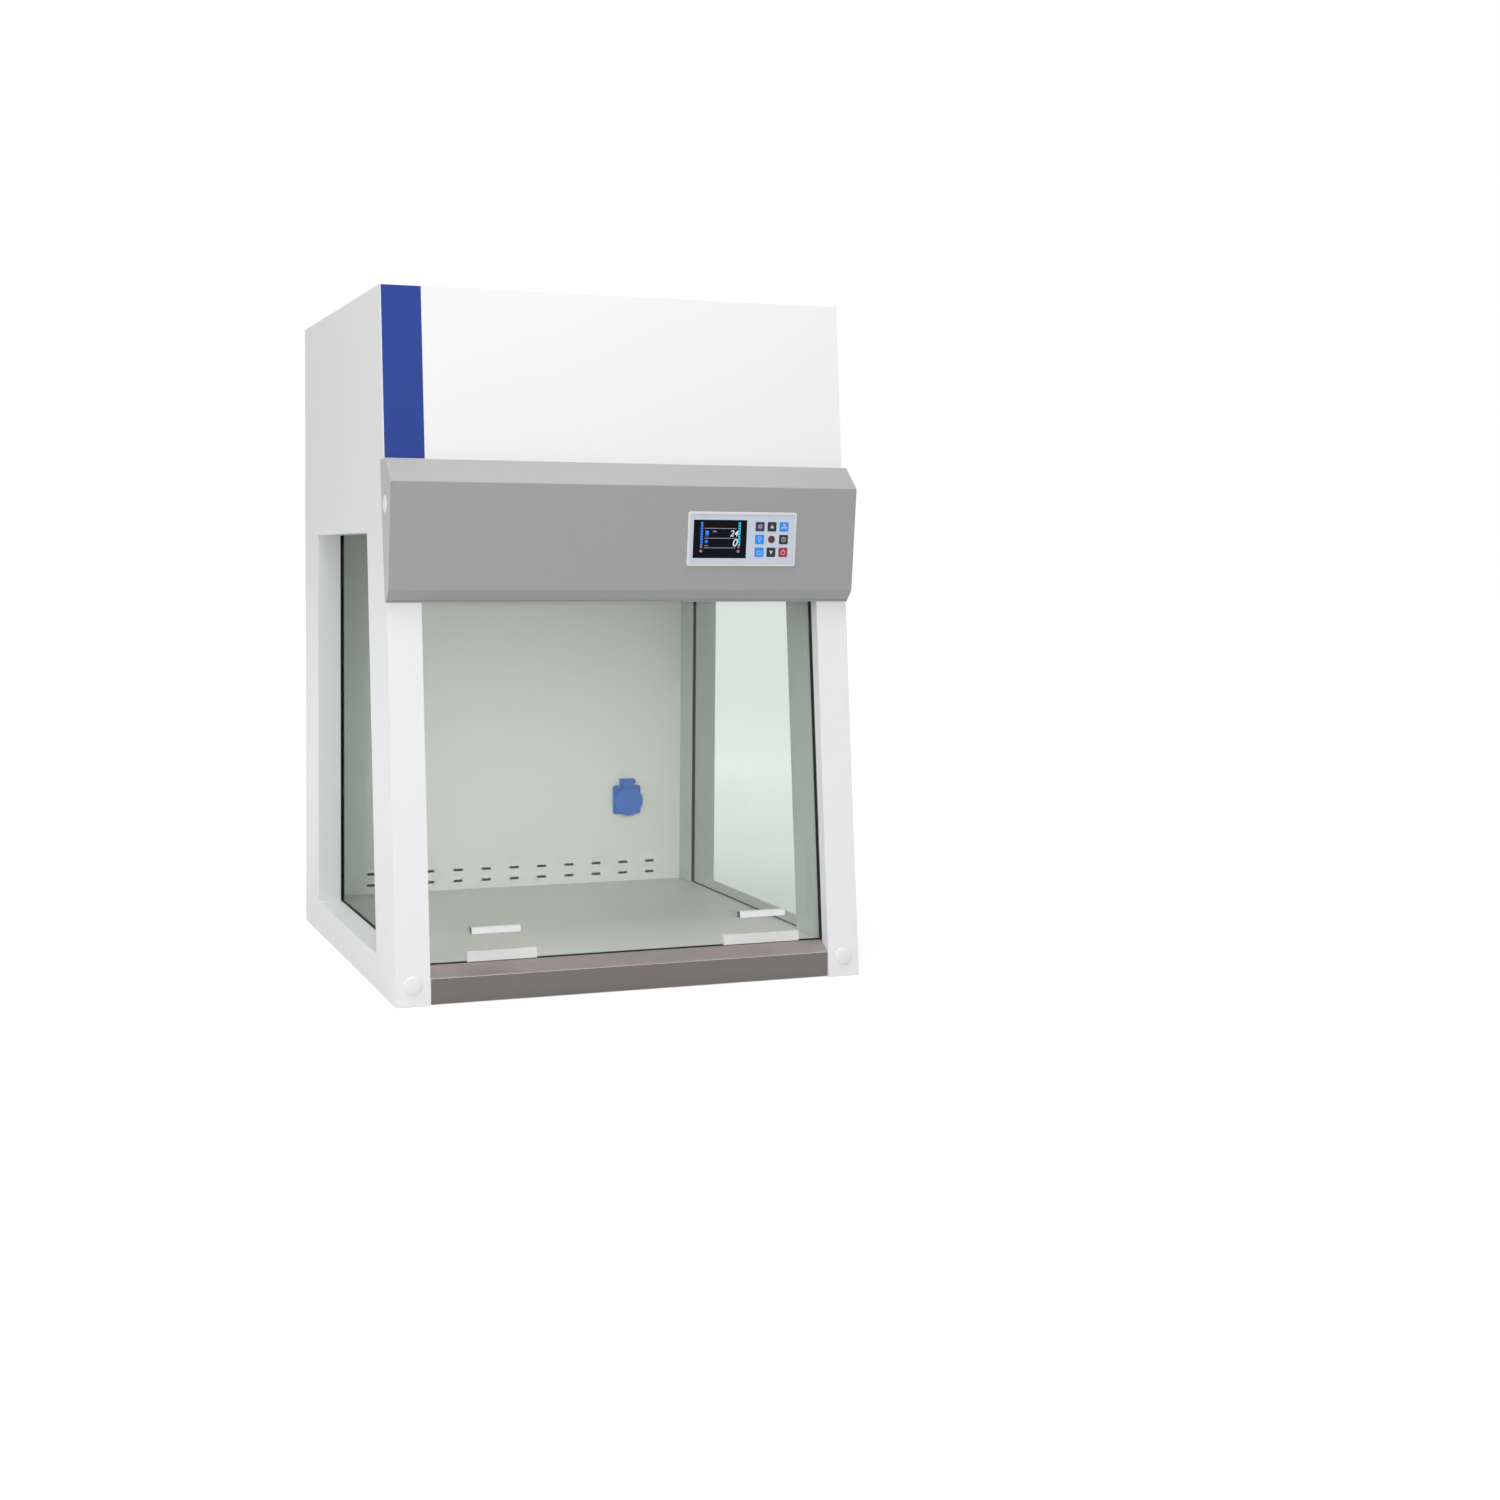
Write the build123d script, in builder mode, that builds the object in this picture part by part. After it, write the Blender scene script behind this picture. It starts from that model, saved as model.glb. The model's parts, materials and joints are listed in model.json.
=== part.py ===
from build123d import *

import os
from math import cos, radians, sin, tan

os.makedirs("parts", exist_ok=True)

# A vertical laminar flow cabinet for the bench. Millimetres.
# X runs to the right, Y to the back and Z up. The origin is on the bench, under the middle of the base.

# Overall body
body_width = 800.0
body_height = 1135.0
base_depth = 765.0
front_lean = 5.73559
sheet = 1.5
thin_sheet = 1.2
panel_gap = 0.3

# Side walls and front posts
wall_depth = 50.0
post_width = 56.0
window_front_gap = 136.0
window_rear_gap = 129.0
window_bottom = 57.5
window_drop = 393.0
glass = 5.0
glass_lap = 10.0
seal_thickness = 1.8

# Work zone
floor_height = 55.0
duct_depth = 67.0
slot_side_gap = 65.0
slot_columns = 11
slot_rows = (71.5, 93.0)
slot_length = 19.5
slot_width = 5.0
slot_end = 1.5
socket_hole_gap = 0.5

# Front sill
sill_nose_gap = 5.0
sill_nose_height = 41.0
sill_land_height = 58.0
sill_land_start = 30.0
sill_land_end = 45.0

# Sash and its guides
sash_depth = 25.0
sash_lap = 4.0
sash_rest_gap = 0.3
sash_travel = 330.0
guide_wall = 2.4
slide_gap = 0.3
guide_run_on = 12.0
guide_side_gap = 1.2
guide_foot_gap = 3.0
guide_nose = 0.8
handle_length = 82.0
handle_height = 11.0
handle_reach = 13.0
handle_inset = 112.5
handle_drop_from = 109.8
clip_wall = 1.2
clip_height = 15.5
left_clip_inset = 125.0
left_clip_length = 116.0
right_clip_inset = 110.8
right_clip_length = 137.0
rail_gap = 7.0
rail_wall = 4.0
rail_height = 26.0

# Counterbalance
pulley_pitch_radius = 21.0
pulley_rim = 3.0
pulley_width = 8.0
pulley_headroom = 53.0
axle_radius = 4.0
axle_gap = 0.05
cable_sides = 8
cable_gap = 0.3
cable_radius = 1.25
weight_width = 42.0
weight_depth = 44.0
weight_length = 212.0
weight_drop = 62.0
bracket_sheet = 2.5
bracket_height = 44.0
bracket_return = 22.0
bracket_lap = 16.0
axle_collar = 2.5
wheel_gap = 0.5

# Head
head_panel_drop = 435.0
deck_drop = 210.0
partition_depth = 48.0
partition_rise = 10.0
strip_width = 65.0
strip_thickness = 0.4

# Grey control hood: how far it stands before the leaning front, with drops from the top
hood_top_drop = 278.0
hood_top_reach = 15.08
hood_brow_reach = 50.86
hood_brow_drop = 315.0
hood_chin_reach = 18.29
hood_chin_drop = 485.0
hood_bottom_drop = 505.0
hood_return = 14.0
hood_bend = 3.0
cheek_top_lap = 19.5
cheek_bottom_lap = 8.7
cap_radius = 14.5
cap_rise = 3.1
cap_edge_fall = 1.2
cap_edge_run = 4.0
cheek_cap_reach = 8.85
cheek_cap_drop = 350.0
post_cap_inset = 28.0
post_cap_height = 33.0

# Control panel, centred on the hood face
panel_side_gap = 205.0
panel_centre_drop = 86.2
panel_width = 195.0
panel_height = 90.0
panel_rim = 4.5
panel_rise = 3.0
frame_ledge = 1.0
film_thickness = 2.0
film_sink = 1.0
film_gap = 0.2
frame_corner = 4.0
board_inset = 2.0
switch_width = 6.0
key_flange_lap = 1.0
display_width = 95.0
display_height = 63.0
display_offset = -40.0
key_width = 15.5
key_height = 15.0
key_corner = 2.2
key_columns = (31.1, 52.8, 74.6)
key_rows = (21.2, 0.0, -21.4)
key_gap = 0.3
key_back_gap = 0.1
key_rise = 0.6
key_flange = 1.0
key_travel = 0.8
receiver_radius = 6.2
board_gap = 1.2

# Filter and diffuser
ledge_drop = 375.0
ledge_thickness = 2.0
ledge_gap = 0.2
ledge_upstand = 18.0
filter_front = 172.0
filter_inset = 3.0
filter_side_gap = 5.0
filter_height = 80.0
filter_frame_gap = 0.5
pack_inset = 4.0
filter_wall = 20.0
gasket_height = 6.0
gasket_width = 16.0
pleat_pitch = 26.0
pleat_wall = 2.0
diffuser_drop = 12.0
diffuser_columns = 3
diffuser_rows = 20
diffuser_slot = 10.0
diffuser_gap = 2.0
diffuser_lap = 6.0
diffuser_land = 20.0

# Lamps
lamp_side_gap = 90.0
uv_radius = 8.0
uv_drop = 18.0
uv_y = 158.0
uv_holder_width = 22.0
uv_holder_drop = 32.0
uv_holder_length = 12.0
uv_holder_round = 9.0
batten_chamfer = 5.0
batten_width = 18.0
batten_height = 22.0
batten_y = 136.0

# Blower
blower_y = 430.0
blower_rise = 85.0
impeller_radius = 65.0
impeller_width = 70.0
blade_count = 24
blade_thickness = 1.6
blade_depth = 15.0
blade_reach = 8.0
scroll_gap = 7.0
scroll_growth = 26.0
housing_width = 84.0
outlet_depth = 78.0
housing_sheet = 1.5
motor_radius = 46.0
motor_length = 74.0
motor_end = 7.0
motor_rim = 8.0
motor_flange = 4.0
shaft_sink = 40.0
shaft_stop = 12.0
shaft_clearance = 6.0
shaft_end_gap = 0.5
shaft_radius = 5.0
shaft_gap = 0.05
inlet_radius = 50.0

# Intake on the top cover
intake_width = 300.0
intake_depth = 220.0
mat_thickness = 20.0
louvre_rows = 12
louvre_width = 8.0
louvre_land = 16.0
mat_gap = 0.3

# Mains socket on the back wall and mains inlet on the rear cover
socket_side_gap = 116.0
socket_height = 219.0
socket_flange = 57.0
socket_plate = 6.0
socket_cup_radius = 23.0
socket_recess_radius = 19.5
socket_recess_depth = 17.5
socket_corner = 5.0
socket_cup_depth = 36.0
socket_pin_depth = 16.0
socket_pin_pitch = 19.0
socket_pin_radius = 2.4
lid_radius = 29.5
lid_thickness = 8.0
lid_edge = 2.2
lid_offset = 2.0
lid_tab = 22.0
knuckle_gap = 0.4
lid_tab_step = 1.0
hinge_leaf = 9.0
knuckle_lift = 0.6
lid_gap = 0.3
knuckle_radius = 4.2
hinge_pin_radius = 1.6
hinge_gap = 0.05
hinge_width = 30.0
hinge_ear = 4.0
hinge_rise = 37.0
inlet_side_gap = 100.0
inlet_drop = 150.0
inlet_width = 27.0
inlet_tall = 19.5
inlet_sink = 15.0
inlet_wall = 2.5
inlet_gap = 0.3
inlet_flange_width = 50.0
inlet_flange_height = 30.0
inlet_corner = 3.0
inlet_floor = 4.0
inlet_pin_pitch = 7.0
inlet_pin_rise = 3.0
inlet_pin_width = 2.0
inlet_pin_height = 4.0
inlet_flange = 1.2

# Fasteners
screw_radius = 2.0
screw_head_radius = 4.0
screw_head = 1.4
screw_gap = 0.1
screw_length = 6.0
shank_sides = 8
head_sides = 12

# Values that follow from the sizes above
half_width = body_width / 2
rear_y = base_depth / 2
lean = tan(radians(front_lean))
lean_cos = cos(radians(front_lean))
lean_sin = sin(radians(front_lean))
liner_x = half_width - wall_depth
post_x = half_width - post_width
glass_x = liner_x + thin_sheet
seal_x = glass_x + glass
reveal_x = seal_x + seal_thickness
back_wall_y = rear_y - duct_depth
cover_y = rear_y - 2 * sheet
head_top = body_height - sheet
window_top = body_height - window_drop
head_panel_bottom = body_height - head_panel_drop
deck_height = body_height - deck_drop
ledge_height = body_height - ledge_drop
hood_top_height = body_height - hood_top_drop
hood_brow_height = body_height - hood_brow_drop
hood_chin_height = body_height - hood_chin_drop
hood_bottom_height = body_height - hood_bottom_drop
cheek_cap_height = body_height - cheek_cap_drop
blower_height = deck_height + blower_rise
inlet_height = body_height - inlet_drop
sash_half_width = post_x + sash_lap
handle_centre = post_x - handle_inset
rail_half_width = post_x - rail_gap
weight_centre = half_width - wall_depth / 2
panel_centre_x = half_width - panel_side_gap
filter_half_width = liner_x - filter_side_gap
lamp_half_length = liner_x - lamp_side_gap
socket_x = liner_x - socket_side_gap
inlet_x = half_width - inlet_side_gap
sash_bottom = (
    sill_land_height + sash_rest_gap + clip_wall * lean_cos + (glass + clip_wall) * lean_sin
)


def front_y(height):
    """Y of the leaning front face at a height."""
    return lean * height - base_depth / 2


def across(depth):
    """A depth square to the front face, as a distance along Y."""
    return depth / lean_cos


def front_strip(near, far, bottom, top):
    """Corners (Y, Z) of a strip that follows the front face between two depths."""
    return [
        (front_y(bottom) + across(near), bottom),
        (front_y(bottom) + across(far), bottom),
        (front_y(top) + across(far), top),
        (front_y(top) + across(near), top),
    ]


def leaning_outline(front_gap, rear_gap, bottom, top):
    """Corners (Y, Z) of a side outline whose front edge follows the front face."""
    return [
        (front_y(bottom) + front_gap, bottom),
        (rear_y - rear_gap, bottom),
        (rear_y - rear_gap, top),
        (front_y(top) + front_gap, top),
    ]


def window_outline(grow):
    """The side window's outline, grown on every edge."""
    return leaning_outline(
        window_front_gap - across(grow), window_rear_gap - grow, window_bottom - grow, window_top + grow
    )


front_face = Plane(origin=(0, -base_depth / 2, 0), x_dir=(1, 0, 0), z_dir=(0, -lean_cos, lean_sin))
up_slope = Vector(0, lean_sin, lean_cos)


def front_plane(depth):
    """A sketch plane parallel to the front face, at a depth behind it."""
    return front_face.offset(-depth)


def climb_at(height, depth):
    """Distance along the slope at which a point at this depth reaches this height."""
    return (height + depth * lean_sin) / lean_cos


def slope_plane(climb):
    """A sketch plane square to the slope: X to the right, Y backwards from the front face."""
    foot = Vector(0, -base_depth / 2, 0) + up_slope * climb
    return Plane(origin=foot, x_dir=(1, 0, 0), z_dir=up_slope)


def keep(part_builder, name):
    """Labels a finished piece and writes it."""
    part_builder.part.label = name
    export_step(part_builder.part, f"parts/{name}.step")


# Side panels: outer skin, window reveal, front post and the flanges that the covers screw to
guide_front = sash_depth - slide_gap - guide_wall
guide_rear = sash_depth + glass + slide_gap + guide_wall
guide_pocket = sash_half_width + slide_gap + guide_side_gap
guide_outer = guide_pocket + guide_wall
rear_flange_width = 20.0
screw_first = 60.0
screw_last_drop = 75.0
screw_rows = 4
screw_step = (body_height - screw_last_drop - screw_first) / (screw_rows - 1)
screw_heights = [screw_first + row * screw_step for row in range(screw_rows)]
screw_x = half_width - sheet - rear_flange_width / 2
with BuildPart() as right_side_panel:
    with BuildSketch(Plane.YZ.offset(half_width - sheet)):
        Polygon(*leaning_outline(0, 0, 0, body_height), align=None)
        Polygon(*window_outline(0), align=None, mode=Mode.SUBTRACT)
    extrude(amount=sheet)
    with BuildSketch(Plane.YZ.offset(reveal_x)):
        Polygon(*window_outline(sheet), align=None)
        Polygon(*window_outline(0), align=None, mode=Mode.SUBTRACT)
    extrude(amount=half_width - sheet - reveal_x)
    with BuildSketch(Plane.YZ.offset(reveal_x)):
        Polygon(*window_outline(glass_lap), align=None)
        Polygon(*window_outline(0), align=None, mode=Mode.SUBTRACT)
    extrude(amount=sheet)
    with BuildSketch(Plane.YZ.offset(post_x)):
        Polygon(*front_strip(0, sheet, 0, head_panel_bottom), align=None)
    extrude(amount=post_width - sheet)
    with BuildSketch(Plane.YZ.offset(post_x)):
        Polygon(*front_strip(0, guide_front, 0, head_panel_bottom), align=None)
    extrude(amount=sheet)
    with BuildSketch(Plane.YZ.offset(post_x)):
        Polygon(*front_strip(guide_front - sheet, guide_front, 0, head_panel_bottom), align=None)
    extrude(amount=guide_outer - post_x)
    with BuildSketch(Plane.XY):
        with Locations((half_width - sheet, cover_y - sheet / 2)):
            Rectangle(rear_flange_width, sheet, align=(Align.MAX, Align.CENTER))
    extrude(amount=head_top)
    with BuildSketch(Plane.XZ.offset(-cover_y + sheet)):
        with Locations(*[(screw_x, height) for height in screw_heights]):
            RegularPolygon(screw_radius + screw_gap, shank_sides)
    extrude(amount=-sheet, mode=Mode.SUBTRACT)
    with BuildSketch(front_plane(0)):
        with Locations((half_width - post_cap_inset, climb_at(post_cap_height, 0))):
            RegularPolygon(screw_radius + screw_gap, shank_sides)
    extrude(amount=-sheet, mode=Mode.SUBTRACT)
keep(right_side_panel, "right_side_panel")

with BuildPart() as left_side_panel:
    mirror(right_side_panel.part, about=Plane.YZ)
keep(left_side_panel, "left_side_panel")

# Side liners: the inner skins of the work zone, with a jog that holds the sash guide from behind
liner_jog = 40.0
with BuildPart() as right_side_liner:
    with BuildSketch(Plane.YZ.offset(liner_x)):
        Polygon(
            *leaning_outline(across(liner_jog - thin_sheet), duct_depth, sheet, deck_height), align=None
        )
        Polygon(*window_outline(0), align=None, mode=Mode.SUBTRACT)
    extrude(amount=thin_sheet)
    with BuildSketch(Plane.YZ.offset(post_x)):
        Polygon(*front_strip(liner_jog - thin_sheet, liner_jog, sheet, deck_height), align=None)
    extrude(amount=liner_x - post_x)
    with BuildSketch(Plane.YZ.offset(post_x)):
        Polygon(*front_strip(guide_rear, liner_jog, sheet, deck_height), align=None)
    extrude(amount=thin_sheet)
keep(right_side_liner, "right_side_liner")

with BuildPart() as left_side_liner:
    mirror(right_side_liner.part, about=Plane.YZ)
keep(left_side_liner, "left_side_liner")

# Side glasses, clamped between the liners and the reveals
with BuildPart() as side_glasses:
    with BuildSketch(Plane.YZ.offset(glass_x)):
        Polygon(*window_outline(glass_lap), align=None)
    extrude(amount=glass)
    mirror(about=Plane.YZ)
keep(side_glasses, "side_glasses")

with BuildPart() as window_seals:
    with BuildSketch(Plane.YZ.offset(seal_x)):
        Polygon(*window_outline(glass_lap), align=None)
        Polygon(*window_outline(0), align=None, mode=Mode.SUBTRACT)
    extrude(amount=seal_thickness)
    mirror(about=Plane.YZ)
keep(window_seals, "window_seals")

# Base pan: a folded tray between the side skins, with two bearers under the work surface
pan_front_gap = 47.0
bearer_x = liner_x - 100.0
bearer_flange = 20.0
bearer_setback = 15.0
pan_upstand = 40.0
with BuildPart() as base_pan:
    with BuildSketch(Plane.XY):
        with Locations((0, front_y(0) + pan_front_gap)):
            Rectangle(
                body_width - 2 * sheet,
                cover_y - sheet - front_y(0) - pan_front_gap,
                align=(Align.CENTER, Align.MIN),
            )
    extrude(amount=sheet)
    for side in (-1, 1):
        with BuildSketch(Plane.XY):
            with Locations((side * (half_width - 1.5 * sheet), front_y(0) + pan_front_gap)):
                Rectangle(
                    sheet,
                    cover_y - 2 * sheet - front_y(0) - pan_front_gap,
                    align=(Align.CENTER, Align.MIN),
                )
        extrude(amount=pan_upstand)
        bearer_length = back_wall_y - front_y(0) - pan_front_gap - 2 * bearer_setback
        with BuildSketch(Plane.XY.offset(sheet)):
            with Locations((side * bearer_x, front_y(0) + pan_front_gap + bearer_setback)):
                Rectangle(sheet, bearer_length, align=(Align.CENTER, Align.MIN))
        extrude(amount=floor_height - 2 * sheet)
        with BuildSketch(Plane.XY.offset(floor_height - 2 * sheet)):
            with Locations((side * bearer_x, front_y(0) + pan_front_gap + bearer_setback)):
                Rectangle(bearer_flange, bearer_length, align=(Align.CENTER, Align.MIN))
        extrude(amount=sheet)
keep(base_pan, "base_pan")

# Stainless work surface with its rim folded down
surface_gap = 0.3
surface_rim = 22.0
surface_front = front_y(0) + across(sill_land_end) + 2 * thin_sheet
with BuildPart() as work_surface:
    with BuildSketch(Plane.XY.offset(floor_height - surface_rim)):
        with Locations((0, surface_front)):
            Rectangle(
                2 * (liner_x - surface_gap),
                back_wall_y - surface_gap - surface_front,
                align=(Align.CENTER, Align.MIN),
            )
    extrude(amount=surface_rim)
    lower_face = work_surface.faces().sort_by(Axis.Z)[0]
    offset(amount=-sheet, openings=lower_face)
keep(work_surface, "work_surface")

# Stainless front sill: nose, sloped top, land under the sash and a leg down to the bench
sill_half_width = post_x - 0.5
foot_y = -base_depth / 2
with BuildPart() as front_sill:
    with BuildSketch(Plane.YZ.offset(-sill_half_width)) as sill_section:
        Polygon(
            (foot_y + sill_nose_gap, 0),
            (foot_y + sill_land_end, 0),
            (foot_y + sill_land_end, sill_land_height),
            (foot_y + sill_land_start, sill_land_height),
            (foot_y + sill_nose_gap, sill_nose_height),
            align=None,
        )
        Polygon(
            (foot_y + sill_nose_gap + sheet, 0),
            (foot_y + sill_land_end - sheet, 0),
            (foot_y + sill_land_end - sheet, sill_land_height - sheet),
            (foot_y + sill_land_start + sheet / 2, sill_land_height - sheet),
            (foot_y + sill_nose_gap + sheet, sill_nose_height - sheet / 2),
            align=None,
            mode=Mode.SUBTRACT,
        )
    extrude(amount=2 * sill_half_width)
    nose_edge = (
        front_sill.edges().filter_by(Axis.X).group_by(Axis.Z)[-1].sort_by(Axis.Y)[0],
    )
    fillet(nose_edge, radius=1.2)
keep(front_sill, "front_sill")

# Back wall of the work zone: two rows of return slots and the socket's hole
with BuildSketch() as return_slot:
    Rectangle(slot_length, slot_width)
    chamfer(return_slot.vertices(), length=slot_end)
slot_shape = return_slot.sketch
slot_pitch = 2 * (liner_x - slot_side_gap) / (slot_columns - 1)
with BuildPart() as back_wall:
    with BuildSketch(Plane.XZ.offset(-back_wall_y)):
        with Locations((0, sheet)):
            Rectangle(
                2 * (liner_x + thin_sheet), deck_height - sheet, align=(Align.CENTER, Align.MIN)
            )
        with Locations((socket_x, socket_height)):
            Circle(socket_cup_radius + socket_hole_gap, mode=Mode.SUBTRACT)
        for row in slot_rows:
            with Locations((0, row)):
                with GridLocations(slot_pitch, 1, slot_columns, 1):
                    add(slot_shape, mode=Mode.SUBTRACT)
    extrude(amount=-thin_sheet)
keep(back_wall, "back_wall")

# Rear cover, with the cut-out for the mains inlet
with BuildPart() as rear_cover:
    with BuildSketch(Plane.XZ.offset(-cover_y)):
        Rectangle(
            2 * (half_width - sheet - panel_gap), head_top - panel_gap, align=(Align.CENTER, Align.MIN)
        )
        with Locations((inlet_x, inlet_height)):
            Rectangle(
                inlet_width + 2 * inlet_wall + 2 * inlet_gap,
                inlet_tall + 2 * inlet_wall + 2 * inlet_gap,
                mode=Mode.SUBTRACT,
            )
        with Locations(*[(side * screw_x, height) for side in (-1, 1) for height in screw_heights]):
            RegularPolygon(screw_radius + screw_gap, shank_sides, mode=Mode.SUBTRACT)
    extrude(amount=-sheet)
keep(rear_cover, "rear_cover")

# Head front panel, between the side skins, and the plain strip at its left edge
head_half_width = half_width - sheet
wire_hole_radius = 14.0
panel_centre_height = hood_brow_height - panel_centre_drop
with BuildPart() as head_front_panel:
    with BuildSketch(Plane.YZ.offset(-head_half_width)):
        Polygon(*front_strip(0, sheet, head_panel_bottom, body_height), align=None)
    extrude(amount=2 * head_half_width)
    with BuildSketch(front_plane(0)):
        with Locations((panel_centre_x, climb_at(panel_centre_height, 0))):
            Circle(wire_hole_radius)
    extrude(amount=-sheet, mode=Mode.SUBTRACT)
keep(head_front_panel, "head_front_panel")

strip_bottom = hood_top_height + sheet
with BuildPart() as blue_strip:
    with BuildSketch(front_plane(0)):
        with Locations((-head_half_width, climb_at(strip_bottom, 0))):
            Rectangle(
                strip_width,
                climb_at(body_height, 0) - climb_at(strip_bottom, 0) - 1,
                align=(Align.MIN, Align.MIN),
            )
    extrude(amount=strip_thickness)
keep(blue_strip, "blue_strip")

# Top cover, with the air intake
cover_front = front_y(body_height) + across(sheet) + 0.2
with BuildPart() as top_cover:
    with BuildSketch(Plane.XY.offset(head_top)):
        with Locations((0, cover_front)):
            Rectangle(
                2 * (half_width - sheet),
                cover_y + sheet - cover_front,
                align=(Align.CENTER, Align.MIN),
            )
        with Locations((0, blower_y - base_depth / 2)):
            Rectangle(intake_width, intake_depth, mode=Mode.SUBTRACT)
    extrude(amount=sheet)
keep(top_cover, "top_cover")

# Intake grille: a louvred plate under the opening, with walls and a lip that hold the mat
grille_lap = 12.0
with BuildPart() as intake_grille:
    with BuildSketch(Plane.XY.offset(head_top - sheet)):
        with Locations((0, blower_y - base_depth / 2)):
            Rectangle(intake_width + 2 * grille_lap, intake_depth + 2 * grille_lap)
            with GridLocations(intake_width / 2, intake_depth / louvre_rows, 2, louvre_rows):
                Rectangle(intake_width / 2 - louvre_land, louvre_width, mode=Mode.SUBTRACT)
    extrude(amount=sheet)
    with BuildSketch(Plane.XY.offset(head_top - sheet - mat_thickness)):
        with Locations((0, blower_y - base_depth / 2)):
            Rectangle(intake_width + 2 * sheet, intake_depth + 2 * sheet)
            Rectangle(intake_width, intake_depth, mode=Mode.SUBTRACT)
    extrude(amount=mat_thickness)
    with BuildSketch(Plane.XY.offset(head_top - 2 * sheet - mat_thickness)):
        with Locations((0, blower_y - base_depth / 2)):
            Rectangle(intake_width + 2 * sheet, intake_depth + 2 * sheet)
            Rectangle(intake_width - 2 * grille_lap, intake_depth - 2 * grille_lap, mode=Mode.SUBTRACT)
    extrude(amount=sheet)
keep(intake_grille, "intake_grille")

with BuildPart() as prefilter:
    with BuildSketch(Plane.XY.offset(head_top - sheet - mat_thickness)):
        with Locations((0, blower_y - base_depth / 2)):
            Rectangle(intake_width - 2 * mat_gap, intake_depth - 2 * mat_gap)
    extrude(amount=mat_thickness)
keep(prefilter, "prefilter")

# Control hood: a folded shell in front of the head, with cheeks that lap the body's sides
hood_points = [
    (front_y(hood_top_height) - hood_top_reach, hood_top_height),
    (front_y(hood_brow_height) - hood_brow_reach, hood_brow_height),
    (front_y(hood_chin_height) - hood_chin_reach, hood_chin_height),
]
hood_brow = Vector(0, *hood_points[1])
hood_half_width = half_width + sheet
cheek_cap_y = front_y(cheek_cap_height) - cheek_cap_reach
chin_slope = (hood_brow - Vector(0, *hood_points[2])).normalized()
panel_centre = hood_brow + Vector(panel_centre_x, 0, 0) - chin_slope * panel_centre_drop
hood_face = Plane(
    origin=panel_centre, x_dir=(1, 0, 0), z_dir=Vector(1, 0, 0).cross(chin_slope)
)
face_hole_width = panel_width - 2 * panel_rim - 2 * frame_ledge
face_hole_height = panel_height - 2 * panel_rim - 2 * frame_ledge
hood_rear_top = (front_y(hood_top_height), hood_top_height)
hood_rear_bottom = (front_y(hood_bottom_height), hood_bottom_height)
with BuildPart() as control_hood:
    with BuildSketch(Plane.YZ.offset(-hood_half_width)) as hood_section:
        Polygon(hood_rear_top, *hood_points, hood_rear_bottom, align=None)
        nose_vertices = hood_section.vertices().sort_by(Axis.X)[0:2]
        fillet(nose_vertices, radius=hood_bend)
        offset(
            hood_section.sketch_local, amount=-sheet, kind=Kind.INTERSECTION, mode=Mode.SUBTRACT
        )
        Polygon(
            *front_strip(
                -2 * sheet, 2 * sheet, hood_bottom_height - wall_depth, hood_top_height + wall_depth
            ),
            align=None,
            mode=Mode.SUBTRACT,
        )
        Polygon(
            hood_rear_top,
            (hood_points[0][0] + hood_bend, hood_top_height),
            (hood_points[0][0] + hood_bend, hood_top_height - sheet),
            (front_y(hood_top_height - sheet), hood_top_height - sheet),
            align=None,
        )
        Polygon(
            *front_strip(-across(sheet), 0, hood_bottom_height, hood_bottom_height + hood_return), align=None
        )
    extrude(amount=2 * hood_half_width)
    for side in (-1, 1):
        start = half_width if side == 1 else -half_width - sheet
        with BuildSketch(Plane.YZ.offset(start)) as cheek:
            Polygon(
                hood_points[0],
                *hood_points[1:],
                hood_rear_bottom,
                (front_y(hood_bottom_height) + cheek_bottom_lap, hood_bottom_height),
                (front_y(hood_top_height) + cheek_top_lap, hood_top_height),
                align=None,
            )
            cheek_nose = cheek.vertices().sort_by(Axis.X)[0:2]
            fillet(cheek_nose, radius=hood_bend)
        extrude(amount=sheet)
    with BuildSketch(hood_face):
        Rectangle(face_hole_width, face_hole_height)
    extrude(amount=-2 * sheet, mode=Mode.SUBTRACT)
    with BuildSketch(Plane.YZ.offset(-hood_half_width)):
        with Locations((cheek_cap_y, cheek_cap_height)):
            RegularPolygon(screw_radius + screw_gap, shank_sides)
    extrude(amount=2 * hood_half_width, mode=Mode.SUBTRACT)
keep(control_hood, "control_hood")

# Round snap caps over the fixing screws, on the posts and on the cheeks
with BuildPart() as screw_caps:
    cap_places = [
        front_face * Location((side * (half_width - post_cap_inset), climb_at(post_cap_height, 0), 0))
        for side in (-1, 1)
    ]
    cap_places += [
        Plane(
            origin=(side * hood_half_width, cheek_cap_y, cheek_cap_height), z_dir=(side, 0, 0)
        ).location
        for side in (-1, 1)
    ]
    for place in cap_places:
        with BuildSketch(Plane(place)):
            Circle(cap_radius)
        extrude(amount=cap_rise / 2)
    cap_rims = screw_caps.edges().filter_by(GeomType.CIRCLE).filter_by(
        lambda edge: any(
            abs((Plane(place).to_local_coords(edge.arc_center)).Z - cap_rise / 2) < 0.01
            and (Plane(place).to_local_coords(edge.arc_center)).length < cap_rise
            for place in cap_places
        )
    )
    chamfer(cap_rims, length=cap_edge_fall, length2=cap_edge_run)
keep(screw_caps, "screw_caps")

# Control panel: raised frame, printed film, display, receiver window
with BuildPart() as panel_frame:
    with BuildSketch(hood_face):
        RectangleRounded(panel_width, panel_height, frame_corner)
        RectangleRounded(
            panel_width - 2 * panel_rim, panel_height - 2 * panel_rim, frame_corner / 2, mode=Mode.SUBTRACT
        )
    extrude(amount=panel_rise)
    frame_front = panel_frame.faces().sort_by(Axis(panel_centre, hood_face.z_dir))[-1]
    chamfer(frame_front.outer_wire().edges(), length=frame_ledge)
keep(panel_frame, "panel_frame")

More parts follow.
